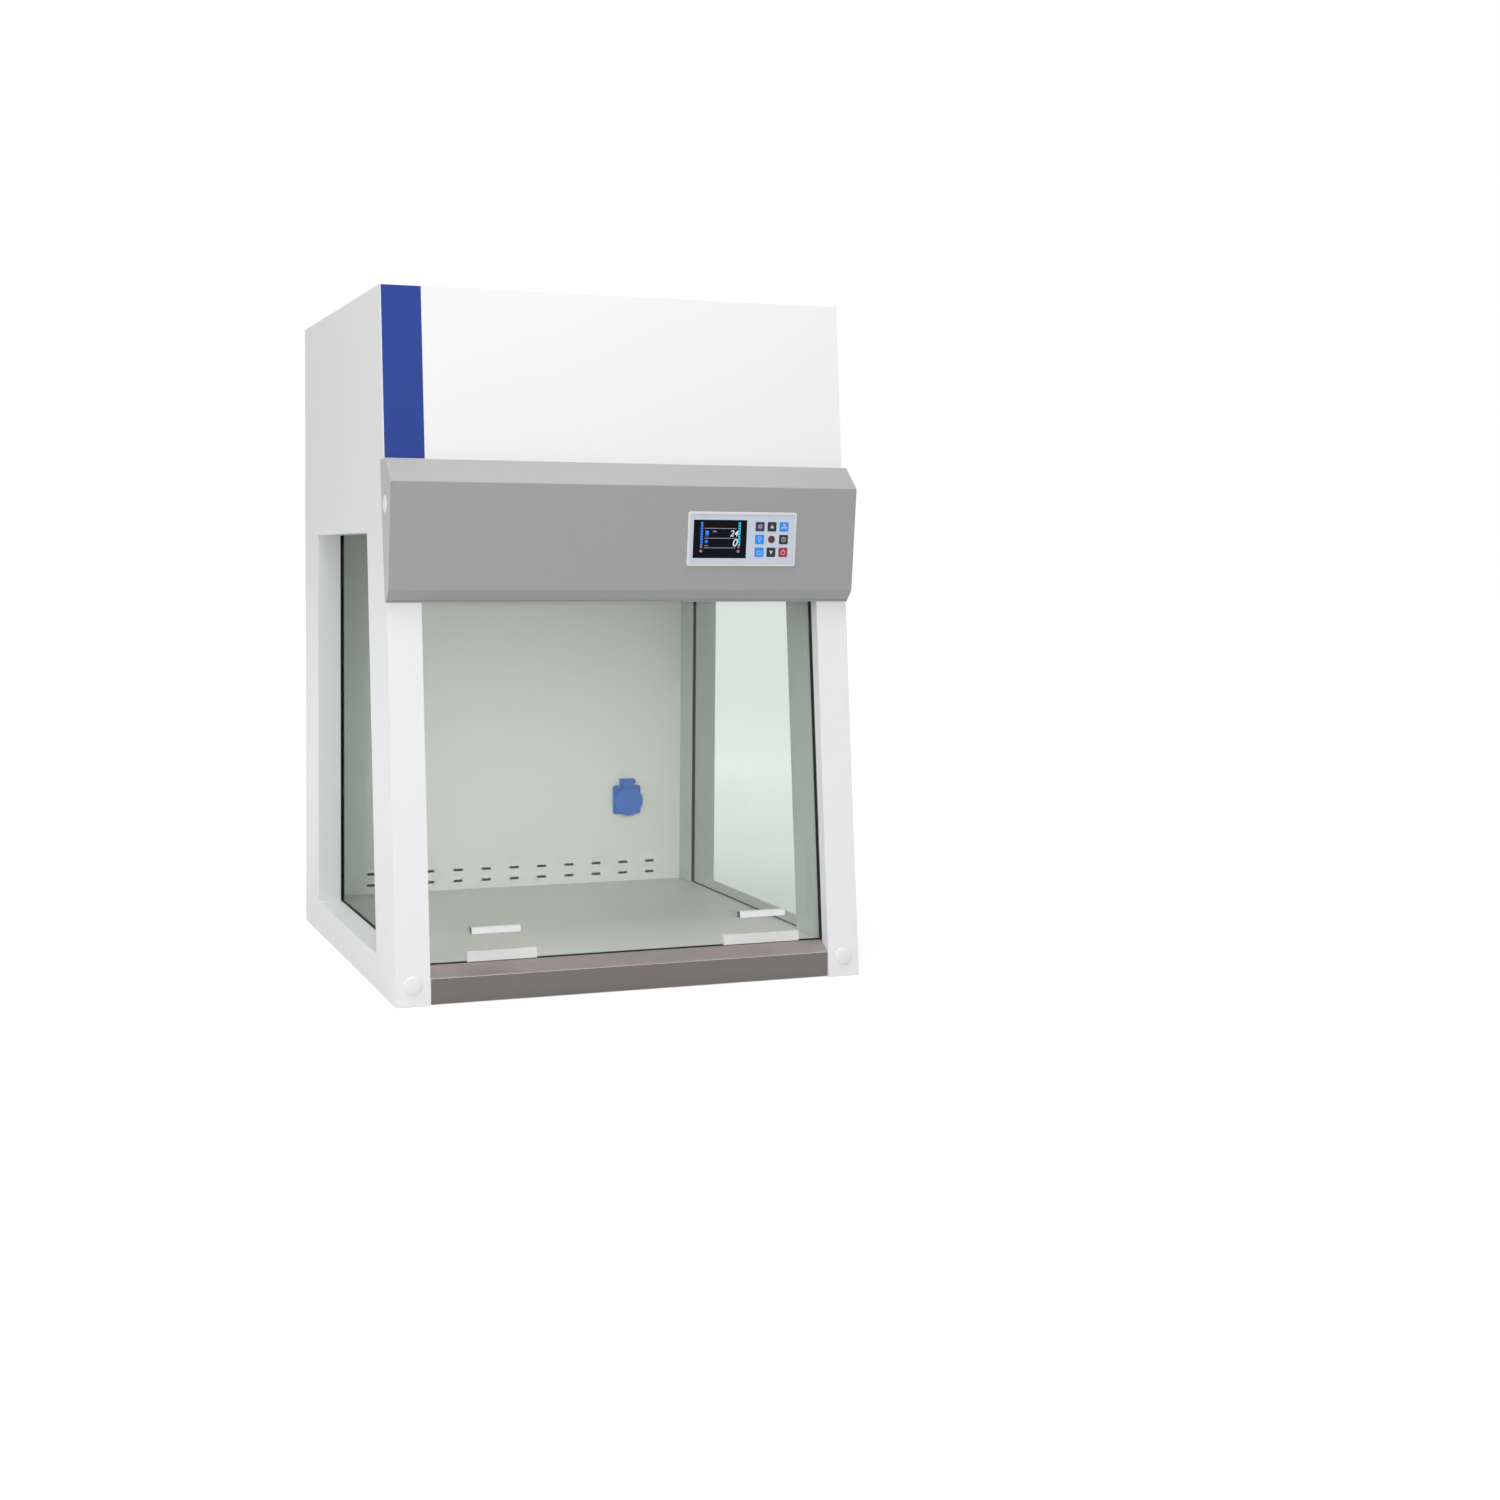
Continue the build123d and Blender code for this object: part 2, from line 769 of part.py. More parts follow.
key_places = [(column, row) for row in key_rows for column in key_columns]
receiver_place = key_places.pop(4)
film_front = panel_rise - film_sink
film_width = panel_width - 2 * panel_rim - 2 * film_gap
film_height = panel_height - 2 * panel_rim - 2 * film_gap
with BuildSketch() as key_opening:
    Rectangle(key_width + 2 * key_gap, key_height + 2 * key_gap)
    chamfer(key_opening.vertices(), length=key_corner / 2)
key_hole = key_opening.sketch
with BuildSketch() as key_outline:
    Rectangle(key_width, key_height)
    chamfer(key_outline.vertices(), length=key_corner / 2)
key_shape = key_outline.sketch
with BuildPart() as control_film:
    with BuildSketch(hood_face.offset(film_front)):
        RectangleRounded(film_width, film_height, frame_corner / 2 - film_gap)
        with Locations((display_offset, 0)):
            Rectangle(display_width + film_gap, display_height + film_gap, mode=Mode.SUBTRACT)
        with Locations(*key_places):
            add(key_hole, mode=Mode.SUBTRACT)
        with Locations(receiver_place):
            Circle(receiver_radius + film_gap / 2, mode=Mode.SUBTRACT)
    extrude(amount=-film_thickness)
keep(control_film, "control_film")

display_thickness = 3.0
with BuildPart() as display:
    with BuildSketch(hood_face.offset(film_front + film_gap)):
        with Locations((display_offset, 0)):
            Rectangle(display_width, display_height)
    extrude(amount=-display_thickness)
keep(display, "display")

with BuildPart() as receiver_window:
    with BuildSketch(hood_face.offset(film_front + film_gap)):
        with Locations(receiver_place):
            Circle(receiver_radius)
    extrude(amount=-display_thickness)
keep(receiver_window, "receiver_window")

# Keys: each has a cap through the film and a flange behind it
key_names = (
    "uv_key", "up_key", "fan_key", "lamp_key", "timer_key", "socket_key", "down_key", "power_key",
)
for key_name, place in zip(key_names, key_places):
    with BuildPart() as key:
        with BuildSketch(hood_face.offset(film_front + key_rise)):
            with Locations(place):
                add(key_shape)
        extrude(amount=-key_rise - film_thickness - key_back_gap)
        with BuildSketch(hood_face.offset(film_front - film_thickness - key_back_gap)):
            with Locations(place):
                Rectangle(key_width + 2 * key_flange_lap, key_height + 2 * key_flange_lap)
        extrude(amount=-key_flange)
    keep(key, key_name)

# Control board behind the film, with its stand-offs and one switch under each key
board_thickness = 1.6
switch_height = 3.0
key_foot = film_front - film_thickness - key_back_gap - key_flange
board_front = key_foot - key_travel - board_gap - switch_height
with BuildPart() as control_board:
    with BuildSketch(hood_face.offset(board_front)):
        Rectangle(face_hole_width - 2 * board_inset, face_hole_height - 2 * board_inset)
    extrude(amount=-board_thickness)
    with BuildSketch(hood_face.offset(board_front)):
        with Locations(*key_places):
            Rectangle(switch_width, switch_width)
    extrude(amount=switch_height)
    display_rear = film_front + film_gap - display_thickness
    with BuildSketch(hood_face.offset(board_front)):
        with Locations((display_offset, 0)):
            Rectangle(display_width - switch_width, display_height - switch_width)
    extrude(amount=display_rear - board_front)
keep(control_board, "control_board")

# Ledge that carries the filter: a ring of angle section between the liners
ledge_front = 130.0
ledge_y0 = foot_y + ledge_front
ledge_half_width = liner_x - ledge_gap
ledge_rear = back_wall_y - ledge_gap
ledge_opening_front = foot_y + filter_front + gasket_width
ledge_opening_rear = back_wall_y - filter_inset - gasket_width
ledge_opening_half = filter_half_width - gasket_width
with BuildPart() as filter_ledge:
    with BuildSketch(Plane.XY.offset(ledge_height)):
        with Locations((0, ledge_y0)):
            Rectangle(2 * ledge_half_width, ledge_rear - ledge_y0, align=(Align.CENTER, Align.MIN))
        with Locations((0, ledge_opening_front)):
            Rectangle(
                2 * ledge_opening_half,
                ledge_opening_rear - ledge_opening_front,
                align=(Align.CENTER, Align.MIN),
                mode=Mode.SUBTRACT,
            )
    extrude(amount=ledge_thickness)
    with BuildSketch(Plane.XY.offset(ledge_height + ledge_thickness)):
        for side in (-1, 1):
            with Locations((side * (ledge_half_width - sheet / 2), ledge_y0)):
                Rectangle(sheet, ledge_rear - ledge_y0, align=(Align.CENTER, Align.MIN))
    extrude(amount=ledge_upstand)
keep(filter_ledge, "filter_ledge")

# Filter: gasket, frame and pleated pack
filter_y0 = foot_y + filter_front
filter_y1 = back_wall_y - filter_inset
filter_mid_y = (filter_y0 + filter_y1) / 2
filter_base = ledge_height + ledge_thickness + gasket_height
with BuildPart() as filter_gasket:
    with BuildSketch(Plane.XY.offset(ledge_height + ledge_thickness)):
        with Locations((0, filter_mid_y)):
            Rectangle(2 * filter_half_width, filter_y1 - filter_y0)
            Rectangle(
                2 * (filter_half_width - gasket_width),
                filter_y1 - filter_y0 - 2 * gasket_width,
                mode=Mode.SUBTRACT,
            )
    extrude(amount=gasket_height)
keep(filter_gasket, "filter_gasket")

filter_frame_half = filter_half_width - sheet - filter_frame_gap
with BuildPart() as filter_frame:
    with BuildSketch(Plane.XY.offset(filter_base)):
        with Locations((0, filter_mid_y)):
            Rectangle(2 * filter_frame_half, filter_y1 - filter_y0)
            Rectangle(
                2 * (filter_frame_half - filter_wall),
                filter_y1 - filter_y0 - 2 * filter_wall,
                mode=Mode.SUBTRACT,
            )
    extrude(amount=filter_height)
keep(filter_frame, "filter_frame")

# The pack is one folded sheet: a zigzag along X, drawn through Y
pack_half = filter_frame_half - filter_wall
pleat_count = int(2 * pack_half / pleat_pitch)
pleat_step = 2 * pack_half / pleat_count
pleat_rise = 4 * pleat_wall
pack_low = filter_base + pack_inset
pack_high = filter_base + filter_height - pack_inset
with BuildPart() as filter_pack:
    upper = []
    lower = []
    for fold in range(2 * pleat_count + 1):
        fold_x = -pack_half + fold * pleat_step / 2
        crest = fold % 2
        upper.append((fold_x, pack_high if crest else pack_low + pleat_rise))
        lower.append((fold_x, pack_high - pleat_rise if crest else pack_low))
    with BuildSketch(Plane.XZ.offset(-(filter_y0 + filter_wall))):
        Polygon(*upper, *reversed(lower), align=None)
    extrude(amount=-(filter_y1 - filter_y0 - 2 * filter_wall))
keep(filter_pack, "filter_pack")

# Diffuser: a slotted plate that hangs from the ledge by its folded rim
diffuser_x = filter_half_width - diffuser_gap
diffuser_y0 = ledge_opening_front - diffuser_lap
diffuser_y1 = back_wall_y - diffuser_gap
diffuser_mid_y = (diffuser_y0 + diffuser_y1) / 2
diffuser_bottom = ledge_height - diffuser_drop
with BuildPart() as diffuser:
    with BuildSketch(Plane.XY.offset(diffuser_bottom)):
        with Locations((0, diffuser_mid_y)):
            Rectangle(2 * diffuser_x, diffuser_y1 - diffuser_y0)
            with GridLocations(
                2 * diffuser_x / diffuser_columns,
                (diffuser_y1 - diffuser_y0 - diffuser_land) / diffuser_rows,
                diffuser_columns,
                diffuser_rows,
            ):
                Rectangle(
                    2 * diffuser_x / diffuser_columns - diffuser_land, diffuser_slot, mode=Mode.SUBTRACT
                )
    extrude(amount=sheet)
    with BuildSketch(Plane.XY.offset(diffuser_bottom)):
        with Locations((0, diffuser_mid_y)):
            Rectangle(2 * diffuser_x, diffuser_y1 - diffuser_y0)
            Rectangle(
                2 * diffuser_x - 2 * sheet, diffuser_y1 - diffuser_y0 - 2 * sheet, mode=Mode.SUBTRACT
            )
    extrude(amount=diffuser_drop)
keep(diffuser, "diffuser")

# Lamps under the front of the ledge: a light batten, and an ultraviolet tube in two holders
with BuildPart() as light_batten:
    with BuildSketch(Plane.YZ.offset(-lamp_half_length)):
        with Locations((foot_y + batten_y, ledge_height)):
            Rectangle(batten_width, batten_height, align=(Align.CENTER, Align.MAX))
    extrude(amount=2 * lamp_half_length)
    low_edges = light_batten.edges().filter_by(Axis.X).group_by(Axis.Z)[0]
    chamfer(low_edges, length=batten_chamfer)
keep(light_batten, "light_batten")

with BuildPart() as uv_tube:
    with BuildSketch(Plane.YZ.offset(-lamp_half_length)):
        with Locations((foot_y + uv_y, ledge_height - uv_drop)):
            Circle(uv_radius)
    extrude(amount=2 * lamp_half_length)
keep(uv_tube, "uv_tube")

with BuildPart() as uv_holders:
    with BuildSketch(Plane.YZ.offset(lamp_half_length)):
        with Locations((foot_y + uv_y, ledge_height)):
            Rectangle(uv_holder_width, uv_holder_drop, align=(Align.CENTER, Align.MAX))
    extrude(amount=uv_holder_length)
    holder_edges = uv_holders.edges().filter_by(Axis.X).group_by(Axis.Z)[0]
    fillet(holder_edges, radius=uv_holder_round)
    mirror(about=Plane.YZ)
keep(uv_holders, "uv_holders")

# Head partition: it closes the plenum behind the sash pocket
partition_foot = head_panel_bottom + partition_rise
with BuildPart() as head_partition:
    with BuildSketch(Plane.YZ.offset(-(liner_x - panel_gap))):
        Polygon(
            *front_strip(partition_depth, partition_depth + sheet, partition_foot, head_top - panel_gap),
            align=None,
        )
    extrude(amount=2 * (liner_x - panel_gap))
keep(head_partition, "head_partition")

# Blower deck, on the top edges of the liners and the back wall
deck_front = front_y(deck_height) + across(partition_depth + sheet + panel_gap)
outlet_y0 = foot_y + blower_y - impeller_radius - scroll_gap - scroll_growth
with BuildPart() as blower_deck:
    with BuildSketch(Plane.XY.offset(deck_height)):
        with Locations((0, deck_front)):
            Rectangle(
                2 * (liner_x + thin_sheet), back_wall_y + thin_sheet - deck_front,
                align=(Align.CENTER, Align.MIN),
            )
        with Locations((0, outlet_y0 + housing_sheet)):
            Rectangle(
                housing_width - 2 * housing_sheet,
                outlet_depth - 2 * housing_sheet,
                align=(Align.CENTER, Align.MIN),
                mode=Mode.SUBTRACT,
            )
    extrude(amount=sheet)
keep(blower_deck, "blower_deck")

# Blower housing: a spiral scroll with its outlet on the deck
blower_mid_y = foot_y + blower_y
scroll_base = impeller_radius + scroll_gap
tongue_angle = radians(20)
deck_top = deck_height + sheet

with BuildPart() as blower_housing:
    for shrink, mode in ((0.0, Mode.ADD), (housing_sheet, Mode.SUBTRACT)):
        half = housing_width / 2 - shrink
        with BuildSketch(Plane.YZ.offset(-half)):
            with BuildLine():
                wall_start = (outlet_y0 + shrink, blower_height)
                wall_top = (blower_mid_y, blower_height + scroll_base + 0.5 * scroll_growth - shrink)
                wall_rear = (blower_mid_y + scroll_base - shrink, blower_height)
                tongue = (
                    blower_mid_y - (scroll_base - shrink) * sin(tongue_angle),
                    blower_height - (scroll_base - shrink) * cos(tongue_angle),
                )
                outlet_rear = (outlet_y0 + outlet_depth - shrink, deck_top)
                outlet_front = (outlet_y0 + shrink, deck_top)
                upper_wall = TangentArc(wall_rear, wall_top, tangent=(0, 1))
                TangentArc(wall_top, wall_start, tangent=upper_wall % 1)
                TangentArc(wall_rear, tongue, tangent=(0, -1))
                Polyline(tongue, outlet_rear, outlet_front, wall_start)
            make_face()
        extrude(amount=2 * half, mode=mode)
    with BuildSketch(Plane.YZ.offset(housing_width / 2 - housing_sheet)):
        with Locations((blower_mid_y, blower_height)):
            Circle(inlet_radius)
    extrude(amount=housing_sheet, mode=Mode.SUBTRACT)
    with BuildSketch(Plane.YZ.offset(-housing_width / 2)):
        with Locations((blower_mid_y, blower_height)):
            Circle(shaft_radius + shaft_clearance)
    extrude(amount=housing_sheet, mode=Mode.SUBTRACT)
keep(blower_housing, "blower_housing")

# Motor on the scroll's left wall, and its shaft
motor_x1 = -housing_width / 2
shaft_start = motor_x1 - shaft_sink
shaft_end = impeller_width / 2 - shaft_stop
with BuildPart() as blower_motor:
    with BuildSketch(Plane.YZ.offset(motor_x1)):
        with Locations((blower_mid_y, blower_height)):
            Circle(motor_radius + motor_rim)
    extrude(amount=-motor_flange)
    with BuildSketch(Plane.YZ.offset(motor_x1 - motor_flange)):
        with Locations((blower_mid_y, blower_height)):
            Circle(motor_radius)
    extrude(amount=-motor_length)
    chamfer(blower_motor.edges().group_by(Axis.X)[0], length=motor_end)
    with BuildSketch(Plane.YZ.offset(motor_x1)):
        with Locations((blower_mid_y, blower_height)):
            Circle(shaft_radius + shaft_gap)
    extrude(amount=shaft_start - motor_x1 - shaft_end_gap, mode=Mode.SUBTRACT)
keep(blower_motor, "blower_motor")

with BuildPart() as motor_shaft:
    with BuildSketch(Plane.YZ.offset(shaft_start)):
        with Locations((blower_mid_y, blower_height)):
            Circle(shaft_radius)
    extrude(amount=shaft_end - shaft_start)
keep(motor_shaft, "motor_shaft")

# Impeller: back plate, hub, forward-curved blades and an end ring
impeller_x0 = -impeller_width / 2
hub_radius = 14.0
ring_width = 3.0
back_plate = 2.0
hub_length = 26.0
blade_lap = 1.0
blade_inner = impeller_radius - blade_depth - blade_lap
blade_outer = impeller_radius - blade_lap
blade_bend = blade_outer - blade_depth / 3
blade_rise = blade_reach / 4
with BuildSketch() as blade:
    Polygon(
        (blade_inner, 0),
        (blade_bend, blade_rise),
        (blade_outer, blade_reach),
        (blade_outer - blade_thickness, blade_reach),
        (blade_bend - blade_thickness, blade_rise + blade_thickness),
        (blade_inner, blade_thickness),
        align=None,
    )
with BuildPart() as impeller:
    with BuildSketch(Plane.YZ.offset(impeller_x0)):
        with Locations((blower_mid_y, blower_height)):
            Circle(impeller_radius)
            Circle(shaft_radius, mode=Mode.SUBTRACT)
    extrude(amount=back_plate)
    with BuildSketch(Plane.YZ.offset(impeller_x0 + back_plate)):
        with Locations((blower_mid_y, blower_height)):
            Circle(hub_radius)
            Circle(shaft_radius, mode=Mode.SUBTRACT)
    extrude(amount=hub_length)
    with BuildSketch(Plane.YZ.offset(impeller_x0 + back_plate)):
        with Locations((blower_mid_y, blower_height)):
            with PolarLocations(0, blade_count):
                add(blade.sketch)
    extrude(amount=impeller_width - back_plate - ring_width)
    with BuildSketch(Plane.YZ.offset(-impeller_x0 - ring_width)):
        with Locations((blower_mid_y, blower_height)):
            Circle(impeller_radius)
            Circle(blade_inner + blade_lap, mode=Mode.SUBTRACT)
    extrude(amount=ring_width)
keep(impeller, "impeller")

# Sash: the glass, two pull handles, edge clips and the top rail
glass_foot = climb_at(sash_bottom, sash_depth)
glass_head = climb_at(head_panel_bottom, sash_depth)
with BuildPart() as sash_glass:
    with BuildSketch(front_plane(sash_depth)):
        with Locations((0, glass_foot)):
            Rectangle(2 * sash_half_width, glass_head - glass_foot, align=(Align.CENTER, Align.MIN))
    extrude(amount=-glass)
keep(sash_glass, "sash_glass")

handle_climb = climb_at(handle_drop_from, sash_depth - handle_reach)
cap_thickness = 4.0
handle_groove = 3.5
handle_round = 1.6
with BuildPart() as sash_handles:
    with BuildSketch(front_plane(sash_depth)):
        with Locations((handle_centre, handle_climb)):
            Rectangle(handle_length, handle_height)
    extrude(amount=handle_reach)
    long_edges = sash_handles.edges().filter_by(Axis.X)
    fillet(long_edges.sort_by(Axis.Y)[0:2], radius=handle_round)
    with BuildSketch(front_plane(sash_depth - handle_reach / 2)):
        with Locations((handle_centre, handle_climb - handle_height / 2)):
            Rectangle(handle_length - 2 * cap_thickness, 2 * handle_groove)
    extrude(amount=handle_groove, both=True, mode=Mode.SUBTRACT)
    mirror(about=Plane.YZ)
keep(sash_handles, "sash_handles")

with BuildPart() as sash_edge_clips:
    for centre, length in (
        (left_clip_inset - post_x, left_clip_length),
        (post_x - right_clip_inset, right_clip_length),
    ):
        with BuildSketch(front_plane(sash_depth - clip_wall)):
            with Locations((centre, glass_foot - clip_wall)):
                Rectangle(length, clip_height + clip_wall, align=(Align.CENTER, Align.MIN))
        extrude(amount=-glass - 2 * clip_wall)
        with BuildSketch(front_plane(sash_depth)):
            with Locations((centre, glass_foot)):
                Rectangle(length, clip_height, align=(Align.CENTER, Align.MIN))
        extrude(amount=-glass, mode=Mode.SUBTRACT)
keep(sash_edge_clips, "sash_edge_clips")

rail_lap = 12.0
with BuildPart() as sash_top_rail:
    with BuildSketch(front_plane(sash_depth - rail_wall)):
        with Locations((0, glass_head - rail_lap)):
            Rectangle(2 * rail_half_width, rail_height, align=(Align.CENTER, Align.MIN))
    extrude(amount=-glass - 2 * rail_wall)
    with BuildSketch(front_plane(sash_depth)):
        with Locations((0, glass_head - rail_lap)):
            Rectangle(2 * rail_half_width, rail_lap, align=(Align.CENTER, Align.MIN))
    extrude(amount=-glass, mode=Mode.SUBTRACT)
keep(sash_top_rail, "sash_top_rail")

# Sash guides: plastic channels that line the posts
guide_foot = climb_at(sill_land_height + guide_foot_gap, guide_front)
guide_head = glass_head + sash_travel + guide_run_on
with BuildPart() as sash_guides:
    with BuildSketch(slope_plane(guide_foot)):
        with Locations((post_x - guide_nose, guide_front)):
            Rectangle(
                guide_outer - post_x + guide_nose, guide_rear - guide_front, align=(Align.MIN, Align.MIN)
            )
        with Locations((post_x - guide_nose, sash_depth - slide_gap)):
            Rectangle(
                guide_pocket - post_x + guide_nose,
                glass + 2 * slide_gap,
                align=(Align.MIN, Align.MIN),
                mode=Mode.SUBTRACT,
            )
    extrude(amount=guide_head - guide_foot)
    mirror(about=Plane.YZ)
keep(sash_guides, "sash_guides")

# Counterweights in the side walls, one for each side of the sash
sash_middle = sash_depth + glass / 2
rail_top = glass_head - rail_lap + rail_height
pulley_climb = rail_top + sash_travel + pulley_headroom
weight_top = pulley_climb - weight_drop
eye_radius = 4.0
eye_height = 10.0
weight_corner = 2.0
with BuildPart() as right_counterweight:
    with BuildSketch(slope_plane(weight_top)):
        with Locations((weight_centre, sash_middle)):
            Rectangle(weight_width, weight_depth)
    extrude(amount=-weight_length)
    weight_edges = right_counterweight.edges().filter_by(Axis((0, 0, 0), up_slope))
    chamfer(weight_edges, length=weight_corner)
    with BuildSketch(slope_plane(weight_top)):
        with Locations((weight_centre, sash_middle)):
            Circle(eye_radius)
    extrude(amount=eye_height)
keep(right_counterweight, "right_counterweight")

with BuildPart() as left_counterweight:
    mirror(right_counterweight.part, about=Plane.YZ)
keep(left_counterweight, "left_counterweight")

# Pulleys, turning on axles that stand out from their brackets
pulley_x = weight_centre - pulley_pitch_radius
pulley_centre = Vector(pulley_x, foot_y, 0) + up_slope * pulley_climb + Vector(
    0, lean_cos, -lean_sin
) * sash_middle
pulley_plane = Plane(origin=pulley_centre, x_dir=(1, 0, 0), z_dir=up_slope * -1)
groove_radius = pulley_pitch_radius - cable_radius - cable_gap
pulley_radius = pulley_pitch_radius + pulley_rim
bore_radius = axle_radius + axle_gap
with BuildPart() as right_pulley:
    with BuildSketch(pulley_plane):
        Polygon(
            (bore_radius, -pulley_width / 2),
            (pulley_radius, -pulley_width / 2),
            (groove_radius, -cable_radius - cable_gap),
            (groove_radius, cable_radius + cable_gap),
            (pulley_radius, pulley_width / 2),
            (bore_radius, pulley_width / 2),
            align=None,
        )
    revolve(axis=Axis(pulley_centre, front_face.z_dir))
keep(right_pulley, "right_pulley")

with BuildPart() as left_pulley:
    mirror(right_pulley.part, about=Plane.YZ)
keep(left_pulley, "left_pulley")

bracket_depth = sash_middle + pulley_width / 2 + 3 * wheel_gap
axle_nose = sash_middle - pulley_width / 2 - wheel_gap
with BuildPart() as pulley_brackets:
    bracket_width = half_width - sheet - (pulley_x - bracket_lap)
    with BuildSketch(front_plane(bracket_depth)):
        with Locations((pulley_x - bracket_lap, pulley_climb)):
            Rectangle(bracket_width, bracket_height, align=(Align.MIN, Align.CENTER))
    extrude(amount=-bracket_sheet)
    with BuildSketch(front_plane(bracket_depth)):
        with Locations((half_width - sheet, pulley_climb)):
            Rectangle(bracket_sheet, bracket_height, align=(Align.MAX, Align.CENTER))
    extrude(amount=-bracket_return)
    with BuildSketch(front_plane(bracket_depth)):
        with Locations((pulley_x, pulley_climb)):
            Circle(axle_radius + axle_collar)
    extrude(amount=2 * wheel_gap)
    with BuildSketch(front_plane(bracket_depth)):
        with Locations((pulley_x, pulley_climb)):
            Circle(axle_radius)
    extrude(amount=bracket_depth - axle_nose)
    with BuildSketch(front_plane(axle_nose)):
        with Locations((pulley_x, pulley_climb)):
            Circle(axle_radius + axle_collar)
    extrude(amount=3 * wheel_gap)
    mirror(about=Plane.YZ)
keep(pulley_brackets, "pulley_brackets")

# Lift cables, from the top rail over the pulleys to the counterweights
cable_inner = pulley_x - pulley_pitch_radius
with BuildPart() as lift_cables:
    with BuildLine(front_plane(sash_middle)) as cable_path:
        Line((cable_inner, rail_top), (cable_inner, pulley_climb))
        ThreePointArc(
            (cable_inner, pulley_climb),
            (pulley_x, pulley_climb + pulley_pitch_radius),
            (weight_centre, pulley_climb),
        )
        Line((weight_centre, pulley_climb), (weight_centre, weight_top + eye_height))
    with BuildSketch(slope_plane(rail_top)):
        with Locations((cable_inner, sash_middle)):
            RegularPolygon(cable_radius, cable_sides)
    sweep(path=cable_path.line)
    mirror(about=Plane.YZ)
keep(lift_cables, "lift_cables")

# Mains socket: flange, cup and the hinge ears, all one moulding
plate_front = back_wall_y - socket_plate
hinge_height = socket_height + hinge_rise
hinge_y = plate_front - knuckle_radius - knuckle_lift
with BuildPart() as socket_body:
    with BuildSketch(Plane.XZ.offset(-plate_front)):
        with Locations((socket_x, socket_height)):
            RectangleRounded(socket_flange, socket_flange, socket_corner)
    extrude(amount=-socket_plate)
    with BuildSketch(Plane.XZ.offset(-plate_front)):
        with Locations((socket_x, socket_height)):
            Rectangle(
                hinge_width, hinge_rise + knuckle_radius + lid_tab_step, align=(Align.CENTER, Align.MIN)
            )
    extrude(amount=-socket_plate)
    with BuildSketch(Plane.XZ.offset(-back_wall_y)):
        with Locations((socket_x, socket_height)):
            Circle(socket_cup_radius)
    extrude(amount=-socket_cup_depth)
    with BuildSketch(Plane.XZ.offset(-plate_front)):
        with Locations((socket_x, socket_height)):
            Circle(socket_recess_radius)
    extrude(amount=-socket_recess_depth, mode=Mode.SUBTRACT)
    with BuildSketch(Plane.XZ.offset(-plate_front - socket_recess_depth)):
        with Locations((socket_x, socket_height)):
            with GridLocations(socket_pin_pitch, 1, 2, 1):
                Circle(socket_pin_radius)
    extrude(amount=-socket_pin_depth, mode=Mode.SUBTRACT)
    for side in (-1, 1):
        ear_x = socket_x + side * (hinge_width / 2 - hinge_ear / 2)
        with BuildSketch(Plane.YZ.offset(ear_x - hinge_ear / 2)):
            with Locations((hinge_y, hinge_height)):
                Circle(knuckle_radius)
                Rectangle(
                    plate_front - hinge_y, 2 * knuckle_radius, align=(Align.MIN, Align.CENTER)
                )
        extrude(amount=hinge_ear)
    with BuildSketch(Plane.YZ.offset(socket_x - hinge_width / 2)):
        with Locations((hinge_y, hinge_height)):
            Circle(hinge_pin_radius)
    extrude(amount=hinge_width)
keep(socket_body, "socket_body")

# Socket lid: a dished disc on a knuckle
lid_rear = plate_front - lid_gap
knuckle_width = hinge_width - 2 * hinge_ear - 2 * knuckle_gap
with BuildPart() as socket_lid:
    with BuildSketch(Plane.XZ.offset(-lid_rear)):
        with Locations((socket_x + lid_offset, socket_height - lid_offset)):
            Circle(lid_radius)
    extrude(amount=lid_thickness)
    chamfer(socket_lid.edges().group_by(Axis.Y)[0], length=lid_edge)
    with BuildSketch(Plane.XZ.offset(-lid_rear)):
        with Locations((socket_x, hinge_height - knuckle_radius - lid_tab_step)):
            Rectangle(knuckle_width, lid_tab, align=(Align.CENTER, Align.MAX))
    extrude(amount=lid_thickness - lid_tab_step)
    with BuildSketch(Plane.YZ.offset(socket_x - knuckle_width / 2)):
        with Locations((hinge_y, hinge_height)):
            Circle(knuckle_radius)
            Rectangle(2 * knuckle_radius - lid_tab_step, hinge_leaf, align=(Align.CENTER, Align.MAX))
            Circle(hinge_pin_radius + hinge_gap, mode=Mode.SUBTRACT)
    extrude(amount=knuckle_width)
keep(socket_lid, "socket_lid")

# Mains inlet, pushed into the rear cover
inlet_outer_width = inlet_width + 2 * inlet_wall
inlet_outer_tall = inlet_tall + 2 * inlet_wall
cover_rear = cover_y + sheet
with BuildPart() as mains_inlet:
    with BuildSketch(Plane.XZ.offset(-cover_rear)):
        with Locations((inlet_x, inlet_height)):
            RectangleRounded(inlet_flange_width, inlet_flange_height, inlet_corner)
    extrude(amount=-inlet_flange)
    with BuildSketch(Plane.XZ.offset(-cover_rear)):
        with Locations((inlet_x, inlet_height)):
            Rectangle(inlet_outer_width, inlet_outer_tall)
    extrude(amount=inlet_sink + inlet_floor)
    with BuildSketch(Plane.XZ.offset(-cover_rear - inlet_flange)):
        with Locations((inlet_x, inlet_height)):
            Rectangle(inlet_width, inlet_tall)
    extrude(amount=inlet_sink + inlet_flange, mode=Mode.SUBTRACT)
    with BuildSketch(Plane.XZ.offset(-cover_rear + inlet_sink)):
        with Locations(
            (inlet_x - inlet_pin_pitch, inlet_height),
            (inlet_x, inlet_height + inlet_pin_rise),
            (inlet_x + inlet_pin_pitch, inlet_height),
        ):
            Rectangle(inlet_pin_width, inlet_pin_height)
    extrude(amount=-inlet_sink + inlet_pin_width)
keep(mains_inlet, "mains_inlet")

